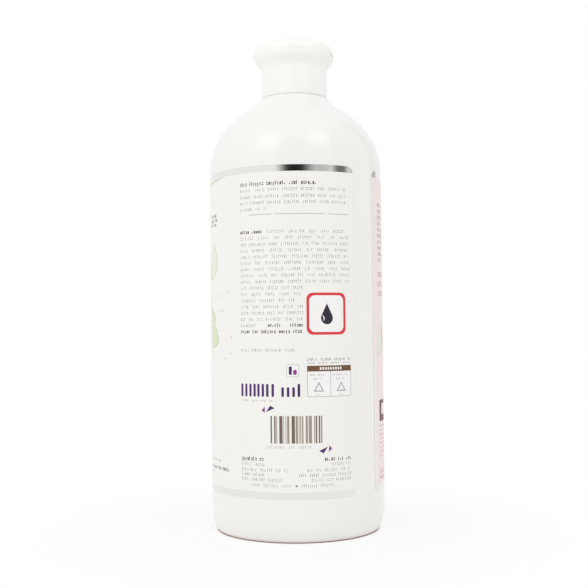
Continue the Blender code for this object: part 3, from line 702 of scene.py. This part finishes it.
def make_hinge_film(material):
    """The living hinge: a short band across the seam, thin along its middle, where the real hinge bends."""
    rows, columns = HINGE_FILM_GRID
    width = HINGE_WIDTH - 2 * HINGE_FILM_MARGIN
    middle = HINGE_X + HINGE_FILM_INSET
    y_steps = [width * (column / columns - 0.5) for column in range(columns + 1)]
    shape = bmesh.new()
    sides = []
    for outward in (1, -1):
        grid = []
        for row in range(rows + 1):
            share = 2 * row / rows - 1
            height = HINGE_Z + HINGE_FILM_REACH * share
            half = (HINGE_FILM_THIN + (HINGE_FILM_THICK - HINGE_FILM_THIN) * abs(share)) / 2
            grid.append([shape.verts.new((middle - half * outward, y, height)) for y in y_steps])
        sides.append(grid)
    outer, inner = sides
    for row in range(rows):
        for column in range(columns):
            for grid in sides:
                low = grid[row][column : column + 2]
                high = grid[row + 1][column : column + 2]
                shape.faces.new((*low, *reversed(high)))
    for row in range(rows):
        for column in (0, columns):
            corners = ((outer, row), (outer, row + 1), (inner, row + 1), (inner, row))
            shape.faces.new([grid[place][column] for grid, place in corners])
    for column in range(columns):
        for row in (0, rows):
            corners = ((outer, column), (outer, column + 1), (inner, column + 1), (inner, column))
            shape.faces.new([grid[row][place] for grid, place in corners])
    return shaded(linked_shape("hinge_film", shape), material)


# Print on the label. Places are in millimetres, counted leftwards from the film's right-hand end and upwards
# from the floor.

LEAF_FULLNESS = 0.8
LEAF_EDGE = 0.35
LEAF_TIP_EDGE = 0.8
DROP_TIP = 2.3
DROP_START = 152
DROP_SWEEP = 236

# Strokes of the writing: up to which value of the dice each kind goes, and sizes as shares of the row's
WORD_LETTERS = (3, 9)
SHORTEST_WORD = 2
ROW_END_LETTERS = 2
LAST_WORD_LETTERS = 3
TALL_UNTIL = 0.16
DEEP_UNTIL = 0.26
BROAD_UNTIL = 0.46
TWO_BARS_UNTIL = 0.62
BARRED_UNTIL = 0.72
SHORT_UNTIL = 0.80
TALL_REACH = 0.32
DEEP_REACH = 0.30
BROAD_WIDTH = 1.8
BAR_WIDTH = 0.78
BAR_HEIGHT = 1.15
BAR_GAP = 0.02
SHORT_CUT = 0.5


def rectangle(left, right, low, high):
    return [(-left, low), (-right, low), (-right, high), (-left, high)]


def rounded(left, right, low, high, radius, steps=6):
    """A rectangle with round corners, counter-clockwise."""
    outline = []
    for centre_u, centre_v, first in (
        (-right - radius, low + radius, -90),
        (-right - radius, high - radius, 0),
        (-left + radius, high - radius, 90),
        (-left + radius, low + radius, 180),
    ):
        for step in range(steps + 1):
            angle = math.radians(first + 90 * step / steps)
            outline.append((centre_u + radius * math.cos(angle), centre_v + radius * math.sin(angle)))
    return outline


def leaf(left, low, length, width, degrees, bend=0.0, steps=14):
    """A leaf with pointed ends and a bent middle, its base at (left, low) and its tip along degrees."""
    heading = math.radians(degrees)
    along = Vector((math.cos(heading), math.sin(heading)))
    across = Vector((-along.y, along.x))
    right_side = []
    left_side = []
    for step in range(steps + 1):
        share = step / steps
        swell = math.sin(math.pi * share**LEAF_FULLNESS)
        middle = Vector((-left, low)) + along * length * share
        middle += across * bend * length * math.sin(math.pi * share)
        right_side.append(tuple(middle - across * width / 2 * swell))
        left_side.append(tuple(middle + across * width / 2 * swell))
    return right_side + left_side[-2:0:-1]


def drop(left, low, radius, steps=24):
    """A water drop: a round foot about its centre that rises to a point."""
    outline = [(-left, low + radius * DROP_TIP)]
    for step in range(steps + 1):
        angle = math.radians(DROP_START + DROP_SWEEP * step / steps)
        outline.append((-left + radius * math.cos(angle), low + radius * math.sin(angle)))
    return outline


def disc(left, low, radius, steps=10):
    outline = []
    for step in range(steps):
        angle = 2 * math.pi * step / steps
        outline.append((-left + radius * math.cos(angle), low + radius * math.sin(angle)))
    return outline


def text_row(shapes, dice, left, right, middle, ink="text", tall=1.2, stroke=0.25, pitch=0.93, space=1.25):
    """A row of small strokes and dashes in word-long groups, which stands for writing and spells nothing."""
    at = left
    while at > right + pitch * ROW_END_LETTERS:
        letters = dice.randint(*WORD_LETTERS)
        if at - letters * pitch < right + pitch * LAST_WORD_LETTERS:
            letters = max(SHORTEST_WORD, round((at - right) / pitch))
        for _ in range(letters):
            if at - stroke < right:
                break
            kind = dice.random()
            low = middle - tall / 2
            high = middle + tall / 2
            wide = stroke
            if kind < TALL_UNTIL:
                high += tall * TALL_REACH
            elif kind < DEEP_UNTIL:
                low -= tall * DEEP_REACH
            elif kind < BROAD_UNTIL:
                wide = stroke * BROAD_WIDTH
            elif kind < BARRED_UNTIL:
                wide = pitch * BAR_WIDTH
                thick = stroke * BAR_HEIGHT
                shapes.append((ink, rectangle(at, at - wide, high - thick, high)))
                if kind < TWO_BARS_UNTIL:
                    high = low + thick
                else:
                    wide = stroke
                    high -= thick + BAR_GAP
            elif kind < SHORT_UNTIL:
                high -= tall * SHORT_CUT
            shapes.append((ink, rectangle(at, at - wide, low, high)))
            at -= pitch
        at -= space


def text_block(shapes, dice, left, right, ink, block):
    """Rows of writing one below the other."""
    count, first, drop_by, tall, stroke, pitch, space = block
    for row in range(count):
        text_row(shapes, dice, left, right, first - drop_by * row, ink, tall, stroke, pitch, space)


PRINT_LOW = LABEL_BOTTOM / MM
PRINT_HIGH = LABEL_TOP / MM
TEXT_LEFT = 56.3
TEXT_RIGHT = 2.5

# Rows of writing: ink, left end, right end, height of the middle
HEADING_ROWS = (
    ("bold", TEXT_LEFT, 18.9, 163.8),
    ("text", TEXT_LEFT, 3.4, 161.0),
    ("text", TEXT_LEFT, 3.6, 157.9),
    ("text", TEXT_LEFT, 3.8, 155.1),
    ("text", TEXT_LEFT, 41.5, 152.2),
)
PROSE_TOP = 141.7
PROSE_PITCH = 2.86
PROSE_ROWS = 17
PROSE_NARROW_FROM = 9
PROSE_NARROW_RIGHT = 25.6
PROSE_SPACES = (1.3, 2.4)
PROSE_BOLD_SPACE = 4.0

# Where the first part of a row of prose ends and the second begins. The first row starts bold, and the last
# but one ends bold.
PROSE_BOLD_START = (45.0, 42.0)
PROSE_BOLD_END = (48.0, 42.0)

COLUMN_ROWS = (
    ("bold", TEXT_LEFT, 44.4, 38.0),
    ("text", TEXT_LEFT, 43.9, 35.7),
    ("text", TEXT_LEFT, 32.7, 33.2),
    ("text", TEXT_LEFT, 43.7, 31.0),
    ("text", TEXT_LEFT, 35.6, 28.8),
    ("bold", 16.3, TEXT_RIGHT, 38.0),
    ("text", 13.1, TEXT_RIGHT, 35.7),
    ("text", 24.4, TEXT_RIGHT, 33.2),
    ("text", 28.3, TEXT_RIGHT, 31.0),
    ("text", 22.6, TEXT_RIGHT, 28.8),
    ("text", 50.9, 31.3, 26.3),
    ("text", 27.0, 7.8, 26.3),
)
SIDE_ROWS = (
    ("bold", 84.0, 75.5, 151.6),
    ("bold", 84.0, 74.8, 149.4),
    ("bold", 84.0, 75.0, 147.2),
    ("text", 85.0, 72.0, 35.4),
    ("bold", 85.0, 64.5, 31.8),
    ("text", 85.0, 80.0, 29.2),
)
HEADING_TYPE = {"ink": "bold", "tall": 1.35, "stroke": 0.42, "pitch": 1.05}
BOLD_TYPE = {"ink": "bold", "stroke": 0.42, "pitch": 1.05}

# Rows of finer writing: left end, right end, height of the middle, and the strokes' height, width and pitch
FINE_ROWS = (
    (TEXT_LEFT, 28.9, 87.6, 1.2, 0.25, 0.93),
    (55.8, 40.0, 64.6, 0.7, 0.20, 0.80),
    (24.2, 2.4, 83.2, 1.0, 0.34, 0.85),
    (23.9, 2.6, 81.6, 0.7, 0.22, 0.75),
)
RULES = ((51.5, 40.0), (38.6, 15.0), (13.5, 2.8))
RULE_EDGES = (149.5, 149.8)
DOT = (29.4, 26.3, 0.45)


def writing():
    dice = random.Random(3)
    shapes = []
    for ink, left, right, middle in HEADING_ROWS + COLUMN_ROWS + SIDE_ROWS:
        text_row(shapes, dice, left, right, middle, **(HEADING_TYPE if ink == "bold" else {}))
    for row in range(PROSE_ROWS):
        right = TEXT_RIGHT if row < PROSE_NARROW_FROM else PROSE_NARROW_RIGHT
        middle = PROSE_TOP - PROSE_PITCH * row
        space = dice.uniform(*PROSE_SPACES)
        left = TEXT_LEFT
        if row == 0:
            bold_right, plain_left = PROSE_BOLD_START
            text_row(shapes, dice, left, bold_right, middle, **BOLD_TYPE)
            left = plain_left
        if row == PROSE_ROWS - 2:
            plain_right, bold_left = PROSE_BOLD_END
            text_row(shapes, dice, left, plain_right, middle)
            text_row(shapes, dice, bold_left, right, middle, space=PROSE_BOLD_SPACE, **BOLD_TYPE)
        elif row == PROSE_ROWS - 1:
            text_row(shapes, dice, left, right, middle, **BOLD_TYPE)
        else:
            text_row(shapes, dice, left, right, middle, space=space)
    for left, right, middle, tall, stroke, pitch in FINE_ROWS:
        text_row(shapes, dice, left, right, middle, tall=tall, stroke=stroke, pitch=pitch)
    for left, right in RULES:
        shapes.append(("rule", rectangle(left, right, *RULE_EDGES)))
    shapes.append(("bold", disc(*DOT)))
    return shapes


def framed_drop():
    """A red-edged tile with a drop in it, and a gleam on the drop."""
    middle = 14.6
    height = 104.0
    half = 9.6
    border = 1.25
    corners_in_reach = 3.2
    shapes = []
    for ink, reach in (("red", half), ("white", half - border)):
        sides = (middle + reach, middle - reach, height - reach, height + reach)
        shapes.append((ink, rounded(*sides, reach / corners_in_reach)))
    shapes.append(("navy", drop(middle, height - 2.0, radius=2.9)))
    gleam = leaf(middle + 1.6, height - 3.4, length=3.0, width=0.55, degrees=105, bend=-0.18)
    return [*shapes, ("white", gleam)]


# Small tile and the row of tall strokes beside it: ink, left, right, low, high and corner of each field
TILE_FIELDS = (
    ("rule", 33.6, 27.8, 75.4, 81.2, 1.1),
    ("white", 33.4, 28.0, 75.6, 81.0, 0.95),
    ("purple", 32.5, 31.1, 76.4, 80.2, 0.5),
    ("magenta", 30.5, 28.9, 76.4, 78.6, 0.4),
)
STROKE_LOW = 66.4
STROKE_WIDTH = 1.2
STROKE_CORNER = 0.5
STROKES = (
    (72.3, (56.4, 54.1, 51.8, 49.6, 47.6, 45.4, 43.2, 40.6, 28.6)),
    (70.8, (36.0, 33.5, 31.0)),
)


def tile_and_strokes():
    """A small outlined tile, and the row of tall strokes that fills the place of the volume."""
    shapes = [(ink, rounded(*field)) for ink, *field in TILE_FIELDS]
    for high, lefts in STROKES:
        for left in lefts:
            shapes.append(("purple", rounded(left, left - STROKE_WIDTH, STROKE_LOW, high, STROKE_CORNER)))
    return shapes


# Table of two cells. A cell's rows: reach to the left and right of its middle, height, and the strokes'
# height, width and pitch. Its triangles: ink, half the base, and the heights of the base and the tip.
CELL_MIDDLES = (18.8, 7.8)
CELL_SPACE = 0.9
CELL_ROWS = (
    (4.2, 3.6, 76.2, 0.8, 0.20, 0.75),
    (2.6, 2.2, 74.4, 0.8, 0.20, 0.75),
    (1.2, 1.0, 67.3, 0.5, 0.18, 0.60),
)
CELL_TRIANGLES = (("rule", 2.5, 68.6, 73.2), ("white", 1.55, 69.2, 72.0))


def frame_table(dice):
    """A table of two cells under a brown heading, with an outlined triangle in each."""
    left, right, low, high = 24.2, 2.3, 66.2, 80.4
    line = 0.28
    divider = 13.1
    heading = 2.6
    shapes = [
        ("rule", rounded(left, right, low, high, radius=0.8)),
        ("white", rounded(left - line, right + line, low + line, high - line, radius=0.6)),
        ("rule", rectangle(divider + line / 2, divider - line / 2, low, high)),
        ("brown", rectangle(left, right, high - heading, high)),
    ]
    at = 18.3
    marks_end = 8.0
    mark, pitch = 0.75, 1.25
    while at > marks_end:
        shapes.append(("white", rectangle(at, at - mark, high - 1.9, high - 0.7)))
        at -= pitch
    for middle in CELL_MIDDLES:
        for to_left, to_right, height, tall, stroke, pitch in CELL_ROWS:
            ends = (middle + to_left, middle - to_right)
            text_row(shapes, dice, *ends, height, "text", tall, stroke, pitch, CELL_SPACE)
        for ink, half, base, tip in CELL_TRIANGLES:
            shapes.append((ink, [(-middle - half, base), (-middle + half, base), (-middle, tip)]))
    return shapes


# Stripes and the two darts at their corners. A dart is mirrored, or not, about its place.
STRIPE_WIDTHS = (0.35, 0.35, 0.7, 0.7, 1.05, 1.5)
STRIPE_INKS = ("taupe", "taupe", "umber")
STRIPE_GAPS = (0.35, 0.35, 0.7, 1.0)
DART_PLACES = ((1, 42.3, 60.6), (-1, 15.9, 42.6))
DARTS = (
    ("purple", ((-1.1, -1.1), (3.1, 0.7), (1.0, 1.9))),
    ("magenta", ((-1.7, -1.6), (-1.5, 1.4), (-3.2, -0.2))),
)


def stripes():
    """A block of upright stripes of uneven width, with small darts at two of its corners."""
    shapes = []
    dice = random.Random(11)
    left, right = 41.2, 17.4
    low, high = 45.4, 57.8
    at = left
    while at > right:
        width = dice.choice(STRIPE_WIDTHS)
        ink = dice.choice(STRIPE_INKS)
        shapes.append((ink, rectangle(at, max(at - width, right), low, high)))
        at -= width + dice.choice(STRIPE_GAPS)
    text_row(shapes, dice, left + 1.5, right + 2.0, 43.7, tall=1.1, stroke=0.22, pitch=0.95, space=1.6)
    for mirror, centre, height in DART_PLACES:
        for ink, points in DARTS:
            shapes.append((ink, [(-centre + mirror * x, height + mirror * y) for x, y in points]))
    return shapes


def outlined_leaf(shapes, left, low, length, width, degrees, bend, fill):
    shapes.append(("olive", leaf(left, low, length, width, degrees, bend)))
    heading = math.radians(degrees)
    step_in = Vector((math.cos(heading), math.sin(heading))) * LEAF_EDGE
    inner = (length - LEAF_TIP_EDGE, width - 2 * LEAF_EDGE)
    shapes.append((fill, leaf(left - step_in.x, low + step_in.y, *inner, degrees, bend)))


# Leaves: left, low, length, width, heading in degrees, bend and ink. Specks: left, low and radius.
LEAVES = (
    (92.5, 168.2, 30.0, 4.0, 3, 0.03, "pale_leaf"),
    (82.0, 121.2, 17.5, 8.5, 80, -0.10, "pale_leaf"),
    (85.0, 121.2, 15.0, 6.5, 118, 0.10, "leaf"),
    (87.0, 120.2, 13.0, 5.5, 158, 0.12, "leaf"),
    (80.5, 88.4, 11.0, 9.0, 78, -0.12, "leaf"),
    (82.0, 97.4, 10.5, 7.5, 97, -0.10, "leaf"),
    (85.5, 92.2, 15.0, 6.5, 128, 0.12, "pale_leaf"),
    (88.5, 88.2, 12.0, 5.5, 172, 0.10, "pale_leaf"),
)
BLUSH_LEAF = (83.0, 84.0, 36.0, 9.0, 95, 0.05)
LONE_LEAF = (85.0, 51.2, 7.5, 5.5, 80)
SPECKS = 16
SPECK_RANGES = ((62.5, 74.0), (72, 118), (0.22, 0.42))


def leaf_picture():
    """Loose sprays of pale leaves with thin darker edges, specks beside them and a faint blush behind."""
    shapes = [("blush", leaf(*BLUSH_LEAF))]
    for outlined in LEAVES:
        outlined_leaf(shapes, *outlined)
    shapes.append(("pale_leaf", leaf(*LONE_LEAF)))
    dice = random.Random(5)
    for _ in range(SPECKS):
        speck = [dice.uniform(*ends) for ends in SPECK_RANGES]
        shapes.append(("olive", disc(*speck, steps=7)))
    return shapes


# Panel. Its ends are counted rightwards from the film's left-hand end, and so are the ends of its writing. A
# block of rows: how many, height of the first, distance down to the next, and the strokes' height, width and
# pitch, and the space between words.
PANEL_LOW_START = 2.2
PANEL_TOP_START = 0.6
PANEL_END = 64.0
PANEL_TEXT = (6.3, 58.0)
PANEL_UPPER_BLOCKS = ((10, 156.5, 2.95, 1.7, 0.6, 1.3, 2.2), (3, 123.0, 4.6, 2.2, 0.8, 1.7, 2.6))
PANEL_LOWER_BLOCKS = ((8, 50.4, 2.05, 0.9, 0.3, 0.8, 1.2), (2, 28.6, 2.6, 1.6, 0.5, 1.2, 2.0))
PANEL_PALE_BLOCK = (1, 72.5, 0, 2.4, 1.0, 2.0, 3.0)


def tinted_panel(width):
    """The pink field at the film's left-hand end, with rows of marks, leaves and one dark block."""
    end = PANEL_END - width
    low_corners = [(PANEL_LOW_START - width, PRINT_LOW), (end, PRINT_LOW)]
    shapes = [("pink", low_corners + [(end, PRINT_HIGH), (PANEL_TOP_START - width, PRINT_HIGH)])]
    dice = random.Random(8)
    left = width - PANEL_TEXT[0]
    right = width - PANEL_TEXT[1]
    for block in PANEL_UPPER_BLOCKS:
        text_block(shapes, dice, left, right, "rose", block)
    outlined_leaf(shapes, left + 1.2, 84.0, length=18.0, width=6.5, degrees=74, bend=-0.08, fill="pale_leaf")
    shapes.append(("salmon", leaf(left - 9.0, 85.0, length=17.0, width=3.2, degrees=96, bend=0.05)))
    shapes.append(("blush", leaf(left - 12.0, 84.0, length=14.0, width=6.0, degrees=60, bend=0.1)))
    text_block(shapes, dice, left - 0.5, right, "blush", PANEL_PALE_BLOCK)
    shapes.append(("plum", rounded(left, width - 46.0, low=52.6, high=62.8, radius=0.6)))
    shapes.append(("blush", rounded(left - 3.2, width - 42.0, low=55.6, high=61.0, radius=2.0)))
    for block in PANEL_LOWER_BLOCKS:
        text_block(shapes, dice, left, right, "rose", block)
    return shapes


# Triangulation of the film: only faces inside fields, the distance at which corners merge, and how far the
# lines of its folds reach past its edges
INSIDE_FACES = 1
MERGE_DISTANCE = 1e-5
FOLD_OVERHANG = 1


def make_label(materials):
    """The film, wrapped round the body, with each field of its print as faces of its own."""
    width = (2 * math.pi * FILM_OUTER - LABEL_BARE_GAP) / MM
    dice = random.Random(21)
    shapes = tinted_panel(width) + leaf_picture() + writing() + framed_drop() + tile_and_strokes()
    shapes += frame_table(dice) + stripes()
    shapes.append(("foil", rectangle(width, 0, PRINT_HIGH - FOIL_TOP / MM, PRINT_HIGH)))
    shapes.append(("foil", rectangle(width, 0, PRINT_LOW, PRINT_LOW + FOIL_BOTTOM / MM)))
    outline = rounded(width, 0, PRINT_LOW, PRINT_HIGH, LABEL_CORNER / MM, LABEL_CORNER_STEPS)

    points = []
    fields = []
    for polygon in [outline] + [polygon for _, polygon in shapes]:
        fields.append(list(range(len(points), len(points) + len(polygon))))
        points += polygon
    folds = []
    for column in range(1, LABEL_COLUMNS):
        folds.append((len(points), len(points) + 1))
        across = -width * column / LABEL_COLUMNS
        points += [(across, PRINT_LOW - FOLD_OVERHANG), (across, PRINT_HIGH + FOLD_OVERHANG)]
    places = [Vector(point) for point in points]
    flat, _, cells, _, _, owners = delaunay_2d_cdt(places, folds, fields, INSIDE_FACES, MERGE_DISTANCE, True)
    cells = [(cell, max(owner)) for cell, owner in zip(cells, owners) if 0 in owner]

    names = ["film", "foil", *INKS]
    mesh = bpy.data.meshes.new("label_film")
    shape = bmesh.new()
    used = sorted({corner for cell, _ in cells for corner in cell})
    outward = {}
    sheets = []
    for radius in (FILM_OUTER, FILM_OUTER - FILM_THICKNESS):
        sheet = {}
        for corner in used:
            azimuth = LABEL_END_AZIMUTH + flat[corner].x * MM / FILM_OUTER
            outward[corner] = Vector((math.sin(azimuth), -math.cos(azimuth), 0))
            place = outward[corner] * radius
            place.z = flat[corner].y * MM
            sheet[corner] = shape.verts.new(place)
        sheets.append(sheet)
    front, back = sheets
    edges = set()
    for cell, owner in cells:
        face = shape.faces.new([front[corner] for corner in cell])
        if owner > 0:
            face.material_index = names.index(shapes[owner - 1][0])
        shape.faces.new([back[corner] for corner in reversed(cell)])
        edges.update(zip(cell, cell[1:] + cell[:1]))
    for start, end in sorted(edges):
        if (end, start) not in edges:
            shape.faces.new((front[end], front[start], back[start], back[end]))
    shape.to_mesh(mesh)
    shape.free()
    for name in names:
        mesh.materials.append(materials[name])
    mesh.shade_smooth()
    normals = [outward[corner] for corner in used] + [-outward[corner] for corner in used]
    mesh.normals_split_custom_set_from_vertices(normals)
    return linked("label_film", mesh)


# Stage


def from_axis(tree, near, far, at_near, at_far):
    """A value that goes from at_near to at_far while the distance from the axis goes from near to far."""
    place = added(tree, "NewGeometry").outputs["Position"]
    flat = added(tree, "VectorMath", {0: place, 1: (1, 1, 0)}, operation="MULTIPLY")
    reach = added(tree, "VectorMath", {0: flat.outputs["Vector"]}, operation="LENGTH")
    return spread(tree, reach.outputs["Value"], near, far, at_near, at_far, "SMOOTHSTEP")


def joined_values(tree, operation, first, second):
    return added(tree, "Math", {0: first, 1: second}, operation=operation).outputs["Value"]


def seen_directly(tree):
    """1 for rays from the camera, from mirrors and through clear things, and 0 for the rest."""
    path = added(tree, "LightPath")
    seen = joined_values(tree, "MAXIMUM", path.outputs["Is Camera Ray"], path.outputs["Is Glossy Ray"])
    return joined_values(tree, "MAXIMUM", seen, path.outputs["Is Transmission Ray"])


def floor_white():
    """Plain white far away, and near the bottle a white that takes its shadow, with a painted reddish-brown
    shadow at the foot.
    """
    material, tree, shader = blank_material("floor_white")
    # Painted shadow: the floor's own colour darkens to reddish brown where the foot stands.
    painted_shadow = from_axis(tree, FOOT_RADIUS, FOOT_RADIUS + PAINTED_SHADOW_REACH, 0.0, 1.0)
    tree.links.new(tinted(tree, painted_shadow, PAINTED_SHADOW_COLOUR, FLOOR_COLOUR), shader.inputs["Base Color"])
    shader.inputs["Roughness"].default_value = FLOOR_ROUGHNESS
    shader.inputs["Specular IOR Level"].default_value = 0.0
    glow = added(tree, "Emission", {"Strength": 1.0})
    near = FOOT_RADIUS + CONTACT_END
    foot = from_axis(tree, FOOT_RADIUS + CONTACT_START, near, 0.0, FLOOR_NEAR_WHITE)
    rest = from_axis(tree, near, FLOOR_FAR, 0.0, 1.0 - FLOOR_NEAR_WHITE)
    share = joined_values(tree, "ADD", foot, rest)
    part = joined_values(tree, "MULTIPLY", seen_directly(tree), share)
    show_mixed(tree, "Material Output", part, shader.outputs["BSDF"], glow.outputs["Emission"])
    return material


def make_floor():
    mesh = bpy.data.meshes.new("floor")
    corners = [(FLOOR_REACH * x, FLOOR_REACH * y, 0) for x, y in ((-1, -1), (1, -1), (1, 1), (-1, 1))]
    mesh.from_pydata(corners, [], [(0, 1, 2, 3)])
    floor = linked("floor", mesh)
    mesh.materials.append(floor_white())


def towards(azimuth, elevation, distance, centre):
    """A place round centre. Azimuth 0 is in front, at -Y, and grows towards +X."""
    flat = math.cos(elevation)
    direction = Vector((math.sin(azimuth) * flat, -math.cos(azimuth) * flat, math.sin(elevation)))
    return centre + direction * distance


def make_dark_card(name, degrees, width, distance, darkness):
    """An upright card with soft edges that only shiny surfaces mirror, like the dark parts of a studio."""
    azimuth = math.radians(degrees)
    mesh = bpy.data.meshes.new(name)
    half = width / 2
    corners = [(-half, 0, CARD_LOW), (half, 0, CARD_LOW), (half, 0, CARD_HIGH), (-half, 0, CARD_HIGH)]
    mesh.from_pydata(corners, [], [(0, 1, 2, 3)])
    card = linked(name, mesh)
    card.location = towards(azimuth, 0, distance, Vector((0, 0, 0)))
    card.rotation_euler = (0, 0, azimuth)
    material, tree, shader = blank_material(name)
    ramp = added(tree, "ValToRGB", {"Fac": generated(tree, "X")})
    stops = ramp.color_ramp
    stops.interpolation = "EASE"
    for end in stops.elements:
        end.color = (0, 0, 0, 1)
    for place in (CARD_EDGE, 1 - CARD_EDGE):
        stops.elements.new(place).color = (darkness, darkness, darkness, 1)
    clear = added(tree, "BsdfTransparent")
    dark = added(tree, "Emission", {"Color": (*CARD_COLOUR, 1)})
    share = ramp.outputs["Color"]
    show_mixed(tree, "Material Output", share, clear.outputs["BSDF"], dark.outputs["Emission"])
    tree.nodes.remove(shader)
    mesh.materials.append(material)
    card.visible_camera = False
    card.visible_diffuse = False
    card.visible_transmission = False
    card.visible_shadow = False


def make_softbox(name, azimuth, elevation, power):
    data = bpy.data.lights.new(name, "AREA")
    data.shape = "RECTANGLE"
    data.size, data.size_y = SOFTBOX_SIZE
    data.energy = power
    lamp = linked(name, data)
    centre = Vector((0, 0, BODY_TOP))
    lamp.location = towards(math.radians(azimuth), math.radians(elevation), SOFTBOX_DISTANCE, centre)
    lamp.rotation_euler = (lamp.location - centre).to_track_quat("Z", "Y").to_euler()


def make_world():
    """White to the camera and in mirrors. Its light is stronger from the left and weaker from above."""
    world = bpy.data.worlds.new("white_room")
    world.use_nodes = True
    tree = world.node_tree
    sky = tree.nodes["Background"]
    sky.inputs["Color"].default_value = (1, 1, 1, 1)
    side = spread(tree, generated(tree, "X"), -1.0, 1.0, SKY_STRENGTH * SKY_LEFT, SKY_STRENGTH * SKY_RIGHT)
    above = spread(tree, generated(tree, "Z"), SKY_FALLS_FROM, 1.0, SKY_LOW, SKY_TOP)
    strength = joined_values(tree, "MULTIPLY", side, above)
    tree.links.new(strength, sky.inputs["Strength"])
    white = added(tree, "Background", {"Color": (1, 1, 1, 1), "Strength": 1.0})
    shaders = (sky.outputs["Background"], white.outputs["Background"])
    show_mixed(tree, "World Output", seen_directly(tree), *shaders)
    bpy.context.scene.world = world


def make_camera():
    data = bpy.data.cameras.new("camera")
    data.sensor_width = SENSOR
    data.lens = FOCAL_PIXELS / IMAGE_SIDE * SENSOR
    data.clip_start = CLIP_START
    data.clip_end = CLIP_END
    camera = linked("camera", data)
    place = towards(CAMERA_AZIMUTH, 0, CAMERA_DISTANCE, Vector((0, 0, CAMERA_HEIGHT)))
    camera.matrix_world = (
        Matrix.Translation(place)
        @ Matrix.Rotation(CAMERA_AZIMUTH + CAMERA_YAW, 4, "Z")
        @ Matrix.Rotation(math.radians(90) + CAMERA_PITCH, 4, "X")
        @ Matrix.Rotation(CAMERA_ROLL, 4, "Z")
    )
    bpy.context.scene.camera = camera


def make_stage():
    make_camera()
    make_world()
    make_floor()
    for softbox in SOFTBOXES:
        make_softbox(*softbox)
    for card in DARK_CARDS:
        make_dark_card(*card)
    bpy.context.scene.view_settings.view_transform = "Standard"


def main():
    materials = make_materials()
    bottle = make_bottle(materials["bottle"])
    label = make_label(materials)
    cap = make_cap(materials["cap"])
    lid = make_lid(materials["cap"])
    hinge = make_hinge_film(materials["cap"])
    for piece, node, body, slot in (
        (bottle, "bottle", "bottle_body", "bottle_plastic"),
        (label, "wrap_label", "bottle_body", "label_film"),
        (cap, "cap_base", "cap", "cap_plastic"),
        (lid, "flip_lid", "lid", "cap_plastic"),
    ):
        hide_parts(node)
        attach(piece, body)
    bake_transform(hinge)
    for node, material in (("seal_ring", "gasket"), ("cleaner_liquid", "liquid")):
        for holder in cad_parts[node].material_slots:
            holder.material = materials[material]
    make_stage()


main()
